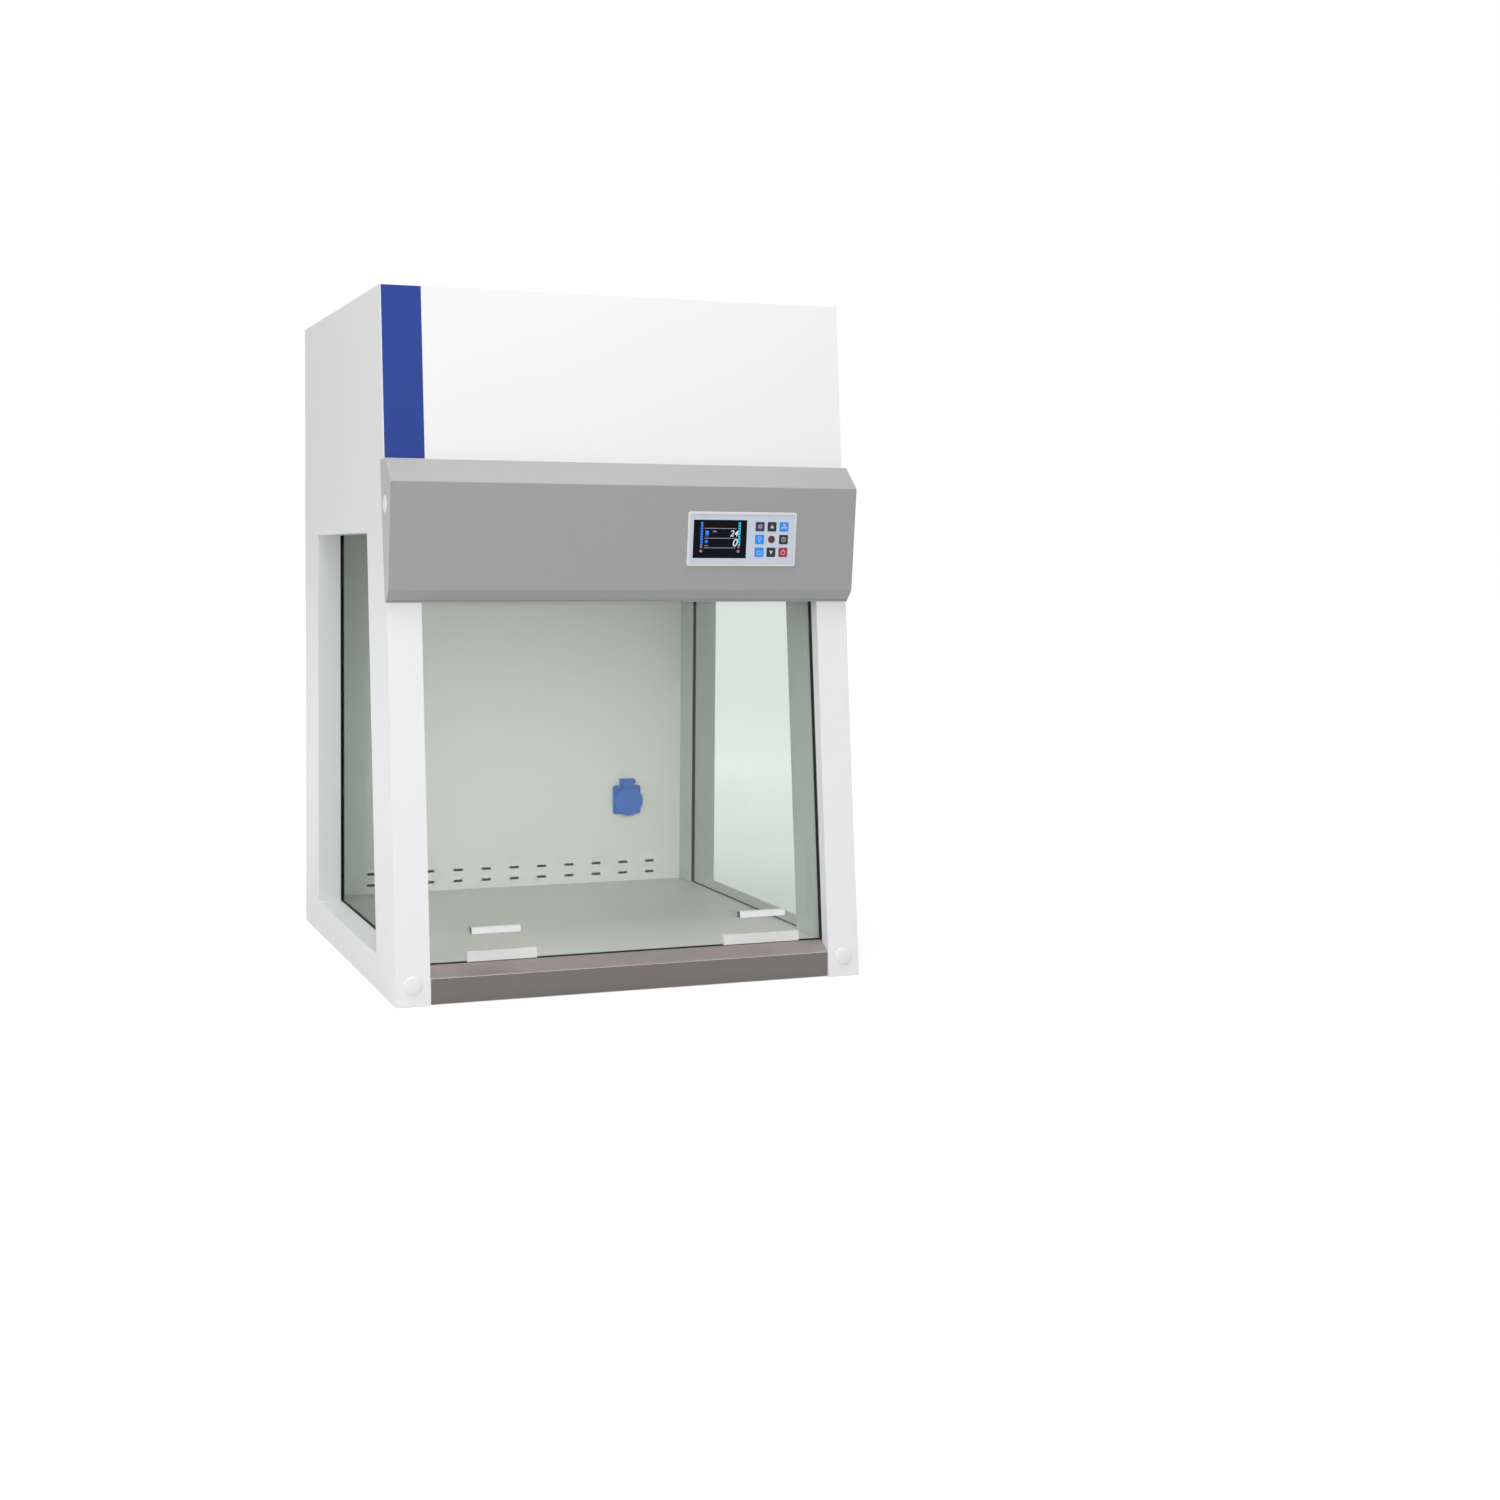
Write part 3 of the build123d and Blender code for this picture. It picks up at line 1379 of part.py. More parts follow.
# Pan-head screws of the rear cover
with BuildPart() as rear_screws:
    with BuildSketch(Plane.XZ.offset(-cover_rear)):
        with Locations(*[(side * screw_x, height) for side in (-1, 1) for height in screw_heights]):
            RegularPolygon(screw_head_radius, head_sides)
    extrude(amount=-screw_head)
    with BuildSketch(Plane.XZ.offset(-cover_rear)):
        with Locations(*[(side * screw_x, height) for side in (-1, 1) for height in screw_heights]):
            RegularPolygon(screw_radius, shank_sides)
    extrude(amount=screw_length)
keep(rear_screws, "rear_screws")
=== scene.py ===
import json
from math import atan2, cos, radians, sin

import bpy
from bpy.props import FloatProperty, FloatVectorProperty, PointerProperty
from mathutils import Matrix, Vector


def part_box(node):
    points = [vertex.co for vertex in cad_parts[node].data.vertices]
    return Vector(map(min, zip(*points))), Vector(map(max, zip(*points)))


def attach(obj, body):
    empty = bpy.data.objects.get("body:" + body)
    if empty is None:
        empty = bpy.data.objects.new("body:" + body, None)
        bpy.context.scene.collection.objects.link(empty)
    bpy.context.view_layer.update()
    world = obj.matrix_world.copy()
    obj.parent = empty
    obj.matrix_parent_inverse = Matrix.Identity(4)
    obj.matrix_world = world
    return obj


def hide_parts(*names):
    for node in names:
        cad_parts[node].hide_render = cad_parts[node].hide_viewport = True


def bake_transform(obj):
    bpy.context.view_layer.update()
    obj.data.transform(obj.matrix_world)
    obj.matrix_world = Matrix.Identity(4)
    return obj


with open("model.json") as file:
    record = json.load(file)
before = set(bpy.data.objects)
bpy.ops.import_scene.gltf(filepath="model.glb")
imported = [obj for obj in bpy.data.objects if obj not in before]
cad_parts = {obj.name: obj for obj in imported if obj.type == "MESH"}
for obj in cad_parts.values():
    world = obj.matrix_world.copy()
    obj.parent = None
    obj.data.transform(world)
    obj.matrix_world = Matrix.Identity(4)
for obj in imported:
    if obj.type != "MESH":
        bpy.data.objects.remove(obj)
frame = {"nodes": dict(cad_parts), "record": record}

bl_info = {
    "name": "Laminar flow cabinet",
    "version": (1, 0, 0),
    "blender": (4, 5, 0),
    "location": "View3D > Sidebar > Cabinet",
    "description": "Finishes and small parts of a vertical laminar flow cabinet",
    "category": "Object",
}

MM = 0.001
NODES = frame["nodes"]
BODY_OF = {node: body for body, names in frame["record"]["behaviour"]["bodies"].items() for node in names}
SLOT_OF = {row["node"]: row["material_slot"] for row in frame["record"]["subparts"]}


def linear(code):
    """An sRGB hex colour as the linear colour that a shader takes."""
    shades = [int(code[start:start + 2], 16) / 255 for start in (1, 3, 5)]
    return (*[s / 12.92 if s <= 0.04045 else ((s + 0.055) / 1.055) ** 2.4 for s in shades], 1.0)


def colour(name, description, code):
    """A colour property with an sRGB default."""
    return FloatVectorProperty(
        name=name, description=description, default=linear(code), size=4, subtype="COLOR", min=0, max=1
    )


def length(name, description, millimetres):
    """A length property with its default in millimetres."""
    return FloatProperty(name=name, description=description, default=millimetres * MM, unit="LENGTH")


def turn(name, description, radians_default):
    """An angle property."""
    return FloatProperty(name=name, description=description, default=radians_default, unit="ROTATION")


class CabinetColours(bpy.types.PropertyGroup):
    """The colours of the cabinet's finishes."""

    white_coat: colour("White coat", "Powder coat of the outer skins", "#F0F0F0")
    liner_coat: colour("Liner coat", "Powder coat inside the work zone", "#EAEAE4")
    grey_coat: colour("Grey coat", "Powder coat of the control hood", "#A0A0A0")
    # The cheeks are the hood's own grey coat, painted lighter for the light that falls on them.
    cheek_coat_painted_light: colour("Cheek coat with painted light", "Hood cheeks: the hood's grey, lightened to paint the light on them", "#BDBDBD")
    blue_vinyl: colour("Blue strip", "Bare strip on the head", "#233F8E")
    socket_blue: colour("Socket", "Moulded mains socket and lid", "#3F73CC")
    film: colour("Film", "Printed film of the control panel", "#CBD6E2")
    frame_silver: colour("Panel frame", "Painted frame round the film", "#DCDDDF")
    stainless: colour("Stainless", "Work surface", "#D6D5CF")
    sill_stainless: colour("Sill stainless", "Front sill", "#D2C6C1")
    # The sill's front face is the same stainless, darkened to paint its reflection of the bench.
    sill_front_painted_reflection: colour("Sill front painted reflection", "Front face of the sill, darkened to paint its reflection of the bench", "#76736F")
    rubber: colour("Rubber", "Seals and guides", "#1D1F20")
    frosted: colour("Frosted clip", "Edge clips on the sash", "#F2F2F0")
    # The liner coat, painted darker for the shade round the side glasses and greener for the glass in front
    # of it.
    side_liner_painted_shade: colour("Side liner painted shade", "Sheet round the side glasses", "#B7C3BC")
    pane: colour("Side pane", "Glass of the side windows", "#E8EEEA")
    aluminium: colour("Aluminium", "Pull handles and rails", "#EDEDEF")
    key_purple: colour("Purple key", "Ultraviolet key", "#2C1550")
    key_black: colour("Black keys", "Arrow and timer keys", "#07080B")
    key_blue: colour("Blue keys", "Fan, lamp and socket keys", "#1890FF")
    key_red: colour("Red key", "Power key", "#A81024")


class CabinetSizes(bpy.types.PropertyGroup):
    """The sizes of what is added to the cabinet."""

    front_lean: turn("Front lean", "How far the front leans back", atan2(114.0, 1135.0))
    panel_tilt: turn("Panel tilt", "How far the hood face looks down", atan2(15.5, 170.0))
    panel_x: length("Panel X", "Control panel centre, to the right", 195.0)
    panel_y: length("Panel Y", "Control panel centre, to the back", -343.17)
    panel_z: length("Panel Z", "Control panel centre, above the bench", 734.156)
    display_lift: length("Display lift", "Display in front of the hood face", 2.2)
    key_lift: length("Key lift", "Key tops in front of the hood face", 2.6)
    print_thickness: length("Print", "Thickness of printed marks", 0.08)
    display_x: length("Display X", "Display centre from the panel centre", -40.0)
    fold_round: length("Fold round", "Outer radius of folded sheet", 0.9)
    moulded_round: length("Moulded round", "Edge radius of plastic parts", 0.7)
    cut_round: length("Cut edge", "Broken edge of cut and machined parts", 0.35)
    cap_radius: length("Cap radius", "Round screw caps", 14.5)
    cap_rise: length("Cap rise", "Height of a screw cap", 3.1)
    shade_strip_height: length("Shade strip height", "Black strip that paints the shade under the sash", 1.3)
    cable_radius: length("Cable radius", "Lift cables", 1.25)
    sash_run: length("Sash cable run", "Cable between top rail and pulley", 383.0)
    weight_run: length("Weight cable run", "Cable between pulley and weight", 52.0)
    pulley_pitch: length("Pulley pitch radius", "Centre of the cable in its groove", 21.0)


def colours():
    """The scene's colours of this cabinet."""
    return bpy.context.scene.cabinet_colours


def sizes():
    """The scene's sizes of this cabinet."""
    return bpy.context.scene.cabinet_sizes


# ---- Finishes ----


def wire(tree, node, inputs):
    """Sets a node's inputs: a socket is linked, anything else is the value."""
    for key, value in inputs.items():
        if isinstance(value, bpy.types.NodeSocket):
            tree.links.new(value, node.inputs[key])
        else:
            node.inputs[key].default_value = value
    return node


def add(tree, kind, inputs, **settings):
    """Adds a node with its settings, values and links."""
    node = tree.nodes.new(kind)
    for key, value in settings.items():
        setattr(node, key, value)
    return wire(tree, node, inputs)


def new_finish(name):
    """An empty finish: the material, its tree, its shader and the object's own coordinates."""
    material = bpy.data.materials.new(name)
    material.use_nodes = True
    tree = material.node_tree
    shader = next(node for node in tree.nodes if node.type == "BSDF_PRINCIPLED")
    place = add(tree, "ShaderNodeTexCoord", {}).outputs["Object"]
    return material, tree, shader, place


def shade(rgba, factor):
    """A darker or lighter shade of a colour."""
    return (*[min(1.0, channel * factor) for channel in rgba[:3]], 1.0)


def powder_coat(name, paint, peel_mm, gloss, drift):
    """Polyester powder coat, baked on sheet steel: a soft even shine over fine orange peel."""
    material, tree, shader, place = new_finish(name)
    # The peel of real coats is about 0.8 mm. It is drawn a little coarser, so that it shows.
    peel = add(tree, "ShaderNodeTexNoise", {"Vector": place, "Scale": 1 / (peel_mm * MM), "Detail": 2.0})
    cloud = add(tree, "ShaderNodeTexNoise", {"Vector": place, "Scale": 4.0, "Detail": 3.0})
    tone = add(
        tree, "ShaderNodeMix", {0: cloud.outputs[0], 6: shade(paint, 1 - drift), 7: shade(paint, 1 + drift)},
        data_type="RGBA",
    )
    speck = add(
        tree, "ShaderNodeMix", {0: 0.05, 6: tone.outputs[2], 7: peel.outputs[1]},
        data_type="RGBA", blend_type="SOFT_LIGHT",
    )
    rough = add(
        tree, "ShaderNodeMapRange", {"Value": peel.outputs[0], "To Min": gloss - 0.05, "To Max": gloss + 0.07}
    )
    bump = add(
        tree, "ShaderNodeBump", {"Height": peel.outputs[0], "Strength": 0.12, "Distance": 0.04 * MM}
    )
    wire(tree, shader, {
        "Base Color": speck.outputs[2], "Roughness": rough.outputs[0], "Normal": bump.outputs[0],
        "IOR": 1.5,
    })
    return material


def brushed_steel(name, tint, stretch, rough_mid, peak, metallic=1.0):
    """Brushed stainless sheet: grit lines along the rolling direction, which smear the reflections."""
    material, tree, shader, place = new_finish(name)
    lines = add(tree, "ShaderNodeMapping", {"Vector": place, "Scale": stretch})
    grit = add(tree, "ShaderNodeTexNoise", {"Vector": lines.outputs[0], "Scale": 1.0, "Detail": 4.0})
    wear = add(tree, "ShaderNodeTexNoise", {"Vector": place, "Scale": 9.0, "Detail": 4.0})
    tone = add(
        tree, "ShaderNodeMix", {0: grit.outputs[0], 6: shade(tint, 0.97), 7: shade(tint, 1.08)},
        data_type="RGBA",
    )
    rough = add(
        tree, "ShaderNodeMapRange",
        {"Value": wear.outputs[0], "To Min": rough_mid - 0.05, "To Max": rough_mid + 0.07},
    )
    bump = add(tree, "ShaderNodeBump", {"Height": grit.outputs[0], "Strength": peak, "Distance": 0.03 * MM})
    wire(tree, shader, {
        "Base Color": tone.outputs[2], "Metallic": metallic, "Roughness": rough.outputs[0],
        "Normal": bump.outputs[0],
    })
    return material


def galvanised_sheet(name, tint, spangle_mm):
    """Hot-dip zinc on steel: dull metal with a spangle of crystals, each with its own tone."""
    material, tree, shader, place = new_finish(name)
    crystal = add(
        tree, "ShaderNodeTexVoronoi", {"Vector": place, "Scale": 1 / (spangle_mm * MM), "Randomness": 1.0}
    )
    frost = add(tree, "ShaderNodeTexNoise", {"Vector": place, "Scale": 500.0, "Detail": 3.0})
    pick = add(tree, "ShaderNodeSeparateColor", {0: crystal.outputs["Color"]})
    tone = add(
        tree, "ShaderNodeMix", {0: pick.outputs[0], 6: shade(tint, 0.84), 7: shade(tint, 1.08)},
        data_type="RGBA",
    )
    rough = add(tree, "ShaderNodeMapRange", {"Value": pick.outputs[1], "To Min": 0.38, "To Max": 0.58})
    bump = add(tree, "ShaderNodeBump", {"Height": frost.outputs[0], "Strength": 0.1, "Distance": 0.03 * MM})
    wire(tree, shader, {
        "Base Color": tone.outputs[2], "Metallic": 0.9, "Roughness": rough.outputs[0],
        "Normal": bump.outputs[0],
    })
    return material


def machined_metal(name, tint, grain_mm, rough_mid, metallic):
    """Drawn or machined metal: satin, with fine tool grain."""
    material, tree, shader, place = new_finish(name)
    drawn = add(
        tree, "ShaderNodeMapping", {"Vector": place, "Scale": (1.0, 1 / (grain_mm * MM), 1 / (grain_mm * MM))}
    )
    grain = add(tree, "ShaderNodeTexNoise", {"Vector": drawn.outputs[0], "Scale": 1.0, "Detail": 3.0})
    tone = add(
        tree, "ShaderNodeMix", {0: grain.outputs[0], 6: shade(tint, 0.93), 7: shade(tint, 1.05)},
        data_type="RGBA",
    )
    rough = add(
        tree, "ShaderNodeMapRange",
        {"Value": grain.outputs[0], "To Min": rough_mid - 0.06, "To Max": rough_mid + 0.06},
    )
    bump = add(tree, "ShaderNodeBump", {"Height": grain.outputs[0], "Strength": 0.1, "Distance": 0.02 * MM})
    wire(tree, shader, {
        "Base Color": tone.outputs[2], "Metallic": metallic, "Roughness": rough.outputs[0],
        "Normal": bump.outputs[0],
    })
    return material


def moulded_plastic(name, tint, grain_mm, rough_mid):
    """Injection-moulded plastic: even colour, with the fine spark grain of its tool."""
    material, tree, shader, place = new_finish(name)
    spark = add(tree, "ShaderNodeTexNoise", {"Vector": place, "Scale": 1 / (grain_mm * MM), "Detail": 2.0})
    flow = add(tree, "ShaderNodeTexNoise", {"Vector": place, "Scale": 35.0, "Detail": 2.0})
    tone = add(
        tree, "ShaderNodeMix", {0: flow.outputs[0], 6: shade(tint, 0.95), 7: shade(tint, 1.05)},
        data_type="RGBA",
    )
    rough = add(
        tree, "ShaderNodeMapRange",
        {"Value": spark.outputs[0], "To Min": rough_mid - 0.06, "To Max": rough_mid + 0.08},
    )
    bump = add(tree, "ShaderNodeBump", {"Height": spark.outputs[0], "Strength": 0.15, "Distance": 0.03 * MM})
    wire(tree, shader, {
        "Base Color": tone.outputs[2], "Roughness": rough.outputs[0], "Normal": bump.outputs[0], "IOR": 1.49,
    })
    return material


def float_glass(name, tint, rough):
    """Float glass, greener at a slant. The camera and the lamps look straight through it."""
    material, tree, shader, place = new_finish(name)
    trace = add(tree, "ShaderNodeTexNoise", {"Vector": place, "Scale": 5.0, "Detail": 4.0})
    tone = add(
        tree, "ShaderNodeMix", {0: trace.outputs[0], 6: tint, 7: shade(tint, 0.985)}, data_type="RGBA"
    )
    wire(tree, shader, {
        "Base Color": tone.outputs[2], "Roughness": rough, "IOR": 1.5, "Transmission Weight": 1.0,
    })
    mirrored_share, mirror_blur = 0.04, 0.03
    slant = add(tree, "ShaderNodeLayerWeight", {"Blend": 0.5})
    deep = add(
        tree, "ShaderNodeMix", {0: slant.outputs["Facing"], 6: tone.outputs[2], 7: shade(tint, 0.97)},
        data_type="RGBA",
    )
    clear = add(tree, "ShaderNodeBsdfTransparent", {"Color": deep.outputs[2]})
    shine = add(tree, "ShaderNodeBsdfGlossy", {"Color": shade(tint, 0.97), "Roughness": mirror_blur})
    thin = add(
        tree, "ShaderNodeMixShader", {0: mirrored_share, 1: clear.outputs[0], 2: shine.outputs[0]}
    )
    # A pane is thin: what the camera sees through it isn't bent, and neither is the lamps' light
    ray = add(tree, "ShaderNodeLightPath", {})
    share = add(
        tree, "ShaderNodeMath", {0: ray.outputs["Is Shadow Ray"], 1: ray.outputs["Is Camera Ray"]},
        operation="MAXIMUM",
    )
    mix = add(
        tree, "ShaderNodeMixShader", {0: share.outputs[0], 1: shader.outputs[0], 2: thin.outputs[0]}
    )
    output = next(node for node in tree.nodes if node.type == "OUTPUT_MATERIAL")
    tree.links.new(mix.outputs[0], output.inputs["Surface"])
    return material


def frosted_acrylic(name, tint):
    """Frosted acrylic extrusion: milky, it lets light through but no picture."""
    material, tree, shader, place = new_finish(name)
    haze = add(tree, "ShaderNodeTexNoise", {"Vector": place, "Scale": 700.0, "Detail": 2.0})
    rough = add(tree, "ShaderNodeMapRange", {"Value": haze.outputs[0], "To Min": 0.45, "To Max": 0.62})
    bump = add(tree, "ShaderNodeBump", {"Height": haze.outputs[0], "Strength": 0.15, "Distance": 0.03 * MM})
    wire(tree, shader, {
        "Base Color": tint, "Roughness": rough.outputs[0], "IOR": 1.49, "Transmission Weight": 0.12,
        "Normal": bump.outputs[0],
    })
    return material


def needled_mat(name, tint):
    """Needled polyester mat of the prefilter: loose fibres, dull and soft."""
    material, tree, shader, place = new_finish(name)
    fibre = add(
        tree, "ShaderNodeTexNoise", {"Vector": place, "Scale": 900.0, "Detail": 6.0, "Distortion": 2.5}
    )
    tuft = add(tree, "ShaderNodeTexVoronoi", {"Vector": place, "Scale": 300.0})
    tone = add(
        tree, "ShaderNodeMix", {0: fibre.outputs[0], 6: shade(tint, 0.7), 7: shade(tint, 1.1)},
        data_type="RGBA",
    )
    bump = add(tree, "ShaderNodeBump", {"Height": fibre.outputs[0], "Strength": 0.6, "Distance": 0.6 * MM})
    lift = add(
        tree, "ShaderNodeBump",
        {
            "Height": tuft.outputs["Distance"], "Strength": 0.4, "Distance": 0.8 * MM,
            "Normal": bump.outputs[0],
        },
    )
    wire(tree, shader, {
        "Base Color": tone.outputs[2], "Roughness": 0.95, "Normal": lift.outputs[0], "Sheen Weight": 0.2,
    })
    return material


def glass_paper(name, tint):
    """Pleated glass-fibre paper: matt white, with a faint laid grain."""
    material, tree, shader, place = new_finish(name)
    laid = add(tree, "ShaderNodeMapping", {"Vector": place, "Scale": (300.0, 900.0, 300.0)})
    grain = add(tree, "ShaderNodeTexNoise", {"Vector": laid.outputs[0], "Scale": 1.0, "Detail": 4.0})
    tone = add(
        tree, "ShaderNodeMix", {0: grain.outputs[0], 6: shade(tint, 0.88), 7: tint}, data_type="RGBA"
    )
    bump = add(tree, "ShaderNodeBump", {"Height": grain.outputs[0], "Strength": 0.3, "Distance": 0.1 * MM})
    wire(tree, shader, {"Base Color": tone.outputs[2], "Roughness": 0.9, "Normal": bump.outputs[0]})
    return material


def circuit_board(name, mask, copper):
    """Glass-epoxy circuit board: green solder mask over tracks, with a low shine."""
    material, tree, shader, place = new_finish(name)
    track = add(tree, "ShaderNodeTexBrick", {
        "Vector": place, "Color1": mask, "Color2": shade(mask, 0.8), "Mortar": copper, "Scale": 180.0,
        "Mortar Size": 0.03,
    })
    bump = add(
        tree, "ShaderNodeBump", {"Height": track.outputs["Fac"], "Strength": 0.2, "Distance": 0.05 * MM}
    )
    wire(tree, shader, {"Base Color": track.outputs[0], "Roughness": 0.35, "Normal": bump.outputs[0]})
    return material


def display_glass(name, tint):
    """Smoked cover glass of the display: near black, smooth, with clear reflections."""
    material, tree, shader, place = new_finish(name)
    smear = add(tree, "ShaderNodeTexNoise", {"Vector": place, "Scale": 60.0, "Detail": 3.0})
    tone = add(tree, "ShaderNodeMix", {0: smear.outputs[0], 6: tint, 7: shade(tint, 1.6)}, data_type="RGBA")
    rough = add(tree, "ShaderNodeMapRange", {"Value": smear.outputs[0], "To Min": 0.12, "To Max": 0.22})
    wire(tree, shader, {
        "Base Color": tone.outputs[2], "Roughness": rough.outputs[0], "IOR": 1.5, "Specular IOR Level": 0.08,
    })
    return material


def lit_ink(name, tint, strength):
    """Lit segment of the display: it glows a little by itself, unevenly as a diffuser does."""
    material, tree, shader, place = new_finish(name)
    spread = add(tree, "ShaderNodeTexNoise", {"Vector": place, "Scale": 400.0, "Detail": 1.0})
    tone = add(
        tree, "ShaderNodeMix", {0: spread.outputs[0], 6: shade(tint, 0.85), 7: shade(tint, 1.1)},
        data_type="RGBA",
    )
    wire(tree, shader, {
        "Base Color": tone.outputs[2], "Roughness": 0.4, "Emission Color": tone.outputs[2],
        "Emission Strength": strength,
    })
    return material


def braided_rope(name, tint, lay_mm):
    """Steel wire rope: strands laid in a helix, with painted shade between them and their crowns left bright.
    """
    material, tree, shader, place = new_finish(name)
    strand = add(
        tree, "ShaderNodeTexWave",
        {"Vector": place, "Scale": 1 / (lay_mm * MM) / 20, "Distortion": 0.5, "Detail": 1.0},
        bands_direction="DIAGONAL",
    )
    # Painted shade: the colour falls to half in the grooves between the strands.
    tone = add(
        tree, "ShaderNodeMix", {0: strand.outputs[1], 6: shade(tint, 0.5), 7: tint}, data_type="RGBA"
    )
    bump = add(tree, "ShaderNodeBump", {"Height": strand.outputs[1], "Strength": 0.5, "Distance": 0.2 * MM})
    wire(tree, shader, {
        "Base Color": tone.outputs[2], "Metallic": 1.0, "Roughness": 0.4, "Normal": bump.outputs[0],
    })
    return material


FINISHES = {}


def make_finishes():
    """Every finish of the cabinet, under the slot that it belongs to, and a few more by their own name."""
    hues = colours()
    FINISHES.update({
        "white_paint": powder_coat("white powder coat", hues.white_coat[:], 1.2, 0.36, 0.01),
        "liner_paint": powder_coat("liner powder coat", hues.liner_coat[:], 1.2, 0.42, 0.015),
        "grey_paint": powder_coat("grey powder coat", hues.grey_coat[:], 1.0, 0.42, 0.02),
        # Painted light: the hood's grey, lightened where the light falls on the cheeks.
        "cheek_painted_light": powder_coat("grey coat with painted light", hues.cheek_coat_painted_light[:], 1.0, 0.42, 0.02),
        "clear_glass": float_glass("float glass", linear("#FCFDFC"), 0.0),
        "side_pane": float_glass("side pane glass", hues.pane[:], 0.0),
        # Painted shade: the liner coat, darker and greener round the side glasses.
        "side_liner": powder_coat("side liner coat with painted shade", hues.side_liner_painted_shade[:], 1.2, 0.42, 0.015),
        # Painted highlight: a brighter metal on the sill's bend, for the catch-light along its crease.
        "sill_bend_painted_highlight": machined_metal("painted highlight on the sill bend", linear("#F6EFEC"), 0.4, 0.5, 0.3),
        "end_plug": moulded_plastic("grey end plug", linear("#6F7072"), 0.5, 0.45),
        "glass_edge": float_glass("ground glass edge", linear("#7FB09A"), 0.25),
        "black_rubber": moulded_plastic("extruded rubber", hues.rubber[:], 0.8, 0.7),
        "zinc_sheet": galvanised_sheet("galvanised sheet", linear("#B9BDBF"), 9.0),
        "stainless": brushed_steel(
            "brushed stainless sheet", hues.stainless[:], (3.0, 900.0, 900.0), 0.5, 0.12, 0.55
        ),
        "sill_stainless": brushed_steel(
            "brushed stainless sill", hues.sill_stainless[:], (3.0, 900.0, 900.0), 0.4, 0.12
        ),
        # Painted reflection: the sill's stainless, darkened for the bench that its front face mirrors.
        "sill_front_painted_reflection": brushed_steel(
            "brushed stainless sill front with painted reflection", hues.sill_front_painted_reflection[:], (3.0, 900.0, 900.0), 0.4, 0.12
        ),
        "blue_vinyl": moulded_plastic("calendered vinyl", hues.blue_vinyl[:], 1.5, 0.4),
        "filter_mat": needled_mat("needled polyester mat", linear("#C9CEC9")),
        "white_plastic": moulded_plastic("white moulded plastic", linear("#EDEDEC"), 0.6, 0.4),
        "silver_plastic": moulded_plastic("silver painted plastic", hues.frame_silver[:], 0.5, 0.34),
        "film_print": moulded_plastic("printed polyester film", hues.film[:], 0.5, 0.45),
        "display_glass": display_glass("smoked display glass", linear("#020208")),
        "dark_red": moulded_plastic("dark red infrared window", linear("#4A0A14"), 0.4, 0.2),
        "circuit_board": circuit_board("circuit board", linear("#1E5A34"), linear("#3C7A4A")),
        "raw_aluminium": machined_metal("drawn aluminium", hues.aluminium[:], 0.25, 0.36, 0.55),
        "filter_paper": glass_paper("pleated glass-fibre paper", linear("#F0EFEA")),
        "lamp_glass": frosted_acrylic("lamp glass", linear("#EEF1F2")),
        "motor_paint": powder_coat("stoved motor enamel", linear("#3A3F44"), 1.5, 0.4, 0.03),
        "steel": machined_metal("zinc-plated steel", linear("#B4B6B8"), 0.3, 0.34, 1.0),
        "frosted_plastic": frosted_acrylic("frosted acrylic", hues.frosted[:]),
        "black_plastic": moulded_plastic("black moulded plastic", linear("#17181A"), 0.6, 0.45),
        "blue_plastic": moulded_plastic("blue moulded plastic", hues.socket_blue[:], 0.6, 0.34),
        "key_purple": moulded_plastic("purple key cap", hues.key_purple[:], 0.4, 0.35),
        "key_black": moulded_plastic("black key cap", hues.key_black[:], 0.4, 0.35),
        "key_blue": moulded_plastic("blue key cap", hues.key_blue[:], 0.4, 0.35),
        "key_red": moulded_plastic("red key cap", hues.key_red[:], 0.4, 0.35),
        "white_ink": lit_ink("white lit mark", linear("#D8DCE4"), 0.25),
        "pale_print": moulded_plastic("pale key print", linear("#C4CCE0"), 0.4, 0.4),
        "line_ink": lit_ink("grey lit line", linear("#7C8496"), 0.2),
        "blue_ink": lit_ink("blue lit segment", linear("#1878E6"), 0.35),
        "cyan_ink": lit_ink("cyan lit segment", linear("#08B8D8"), 0.35),
        "red_ink": lit_ink("red lit segment", linear("#C8481C"), 0.3),
        "wire_rope": braided_rope("steel wire rope", linear("#B9BBBD"), 6.0),
    })


# ---- Modelling helpers ----


def alone(piece):
    """Leaves one piece selected and active, so that an operator acts on it and on nothing else."""
    bpy.ops.object.select_all(action="DESELECT")
    piece.select_set(True)
    bpy.context.view_layer.objects.active = piece
    return piece


def edit(piece):
    """Opens one piece for editing, with all of it selected."""
    alone(piece)
    bpy.ops.object.mode_set(mode="EDIT")
    bpy.ops.mesh.select_all(action="SELECT")


def leave():
    """Closes the piece that is being edited."""
    bpy.ops.object.mode_set(mode="OBJECT")


def named(name):
    """Names what was just added."""
    piece = bpy.context.object
    piece.name = piece.data.name = name
    return piece


def settle(piece, place=None):
    """Puts a piece's place into its mesh, so that its object stands unturned at the origin."""
    alone(piece)
    if place is not None:
        piece.matrix_world = place @ piece.matrix_world
    bpy.ops.object.transform_apply(location=True, rotation=True, scale=True)
    return piece


def select_faces(piece, wanted):
    """Opens a piece for editing with only the wanted faces selected, by their centre and normal."""
    edit(piece)
    bpy.ops.mesh.select_mode(type="FACE")
    bpy.ops.mesh.select_all(action="DESELECT")
    leave()
    for face in piece.data.polygons:
        face.select = wanted(face.center, face.normal)
    bpy.ops.object.mode_set(mode="EDIT")


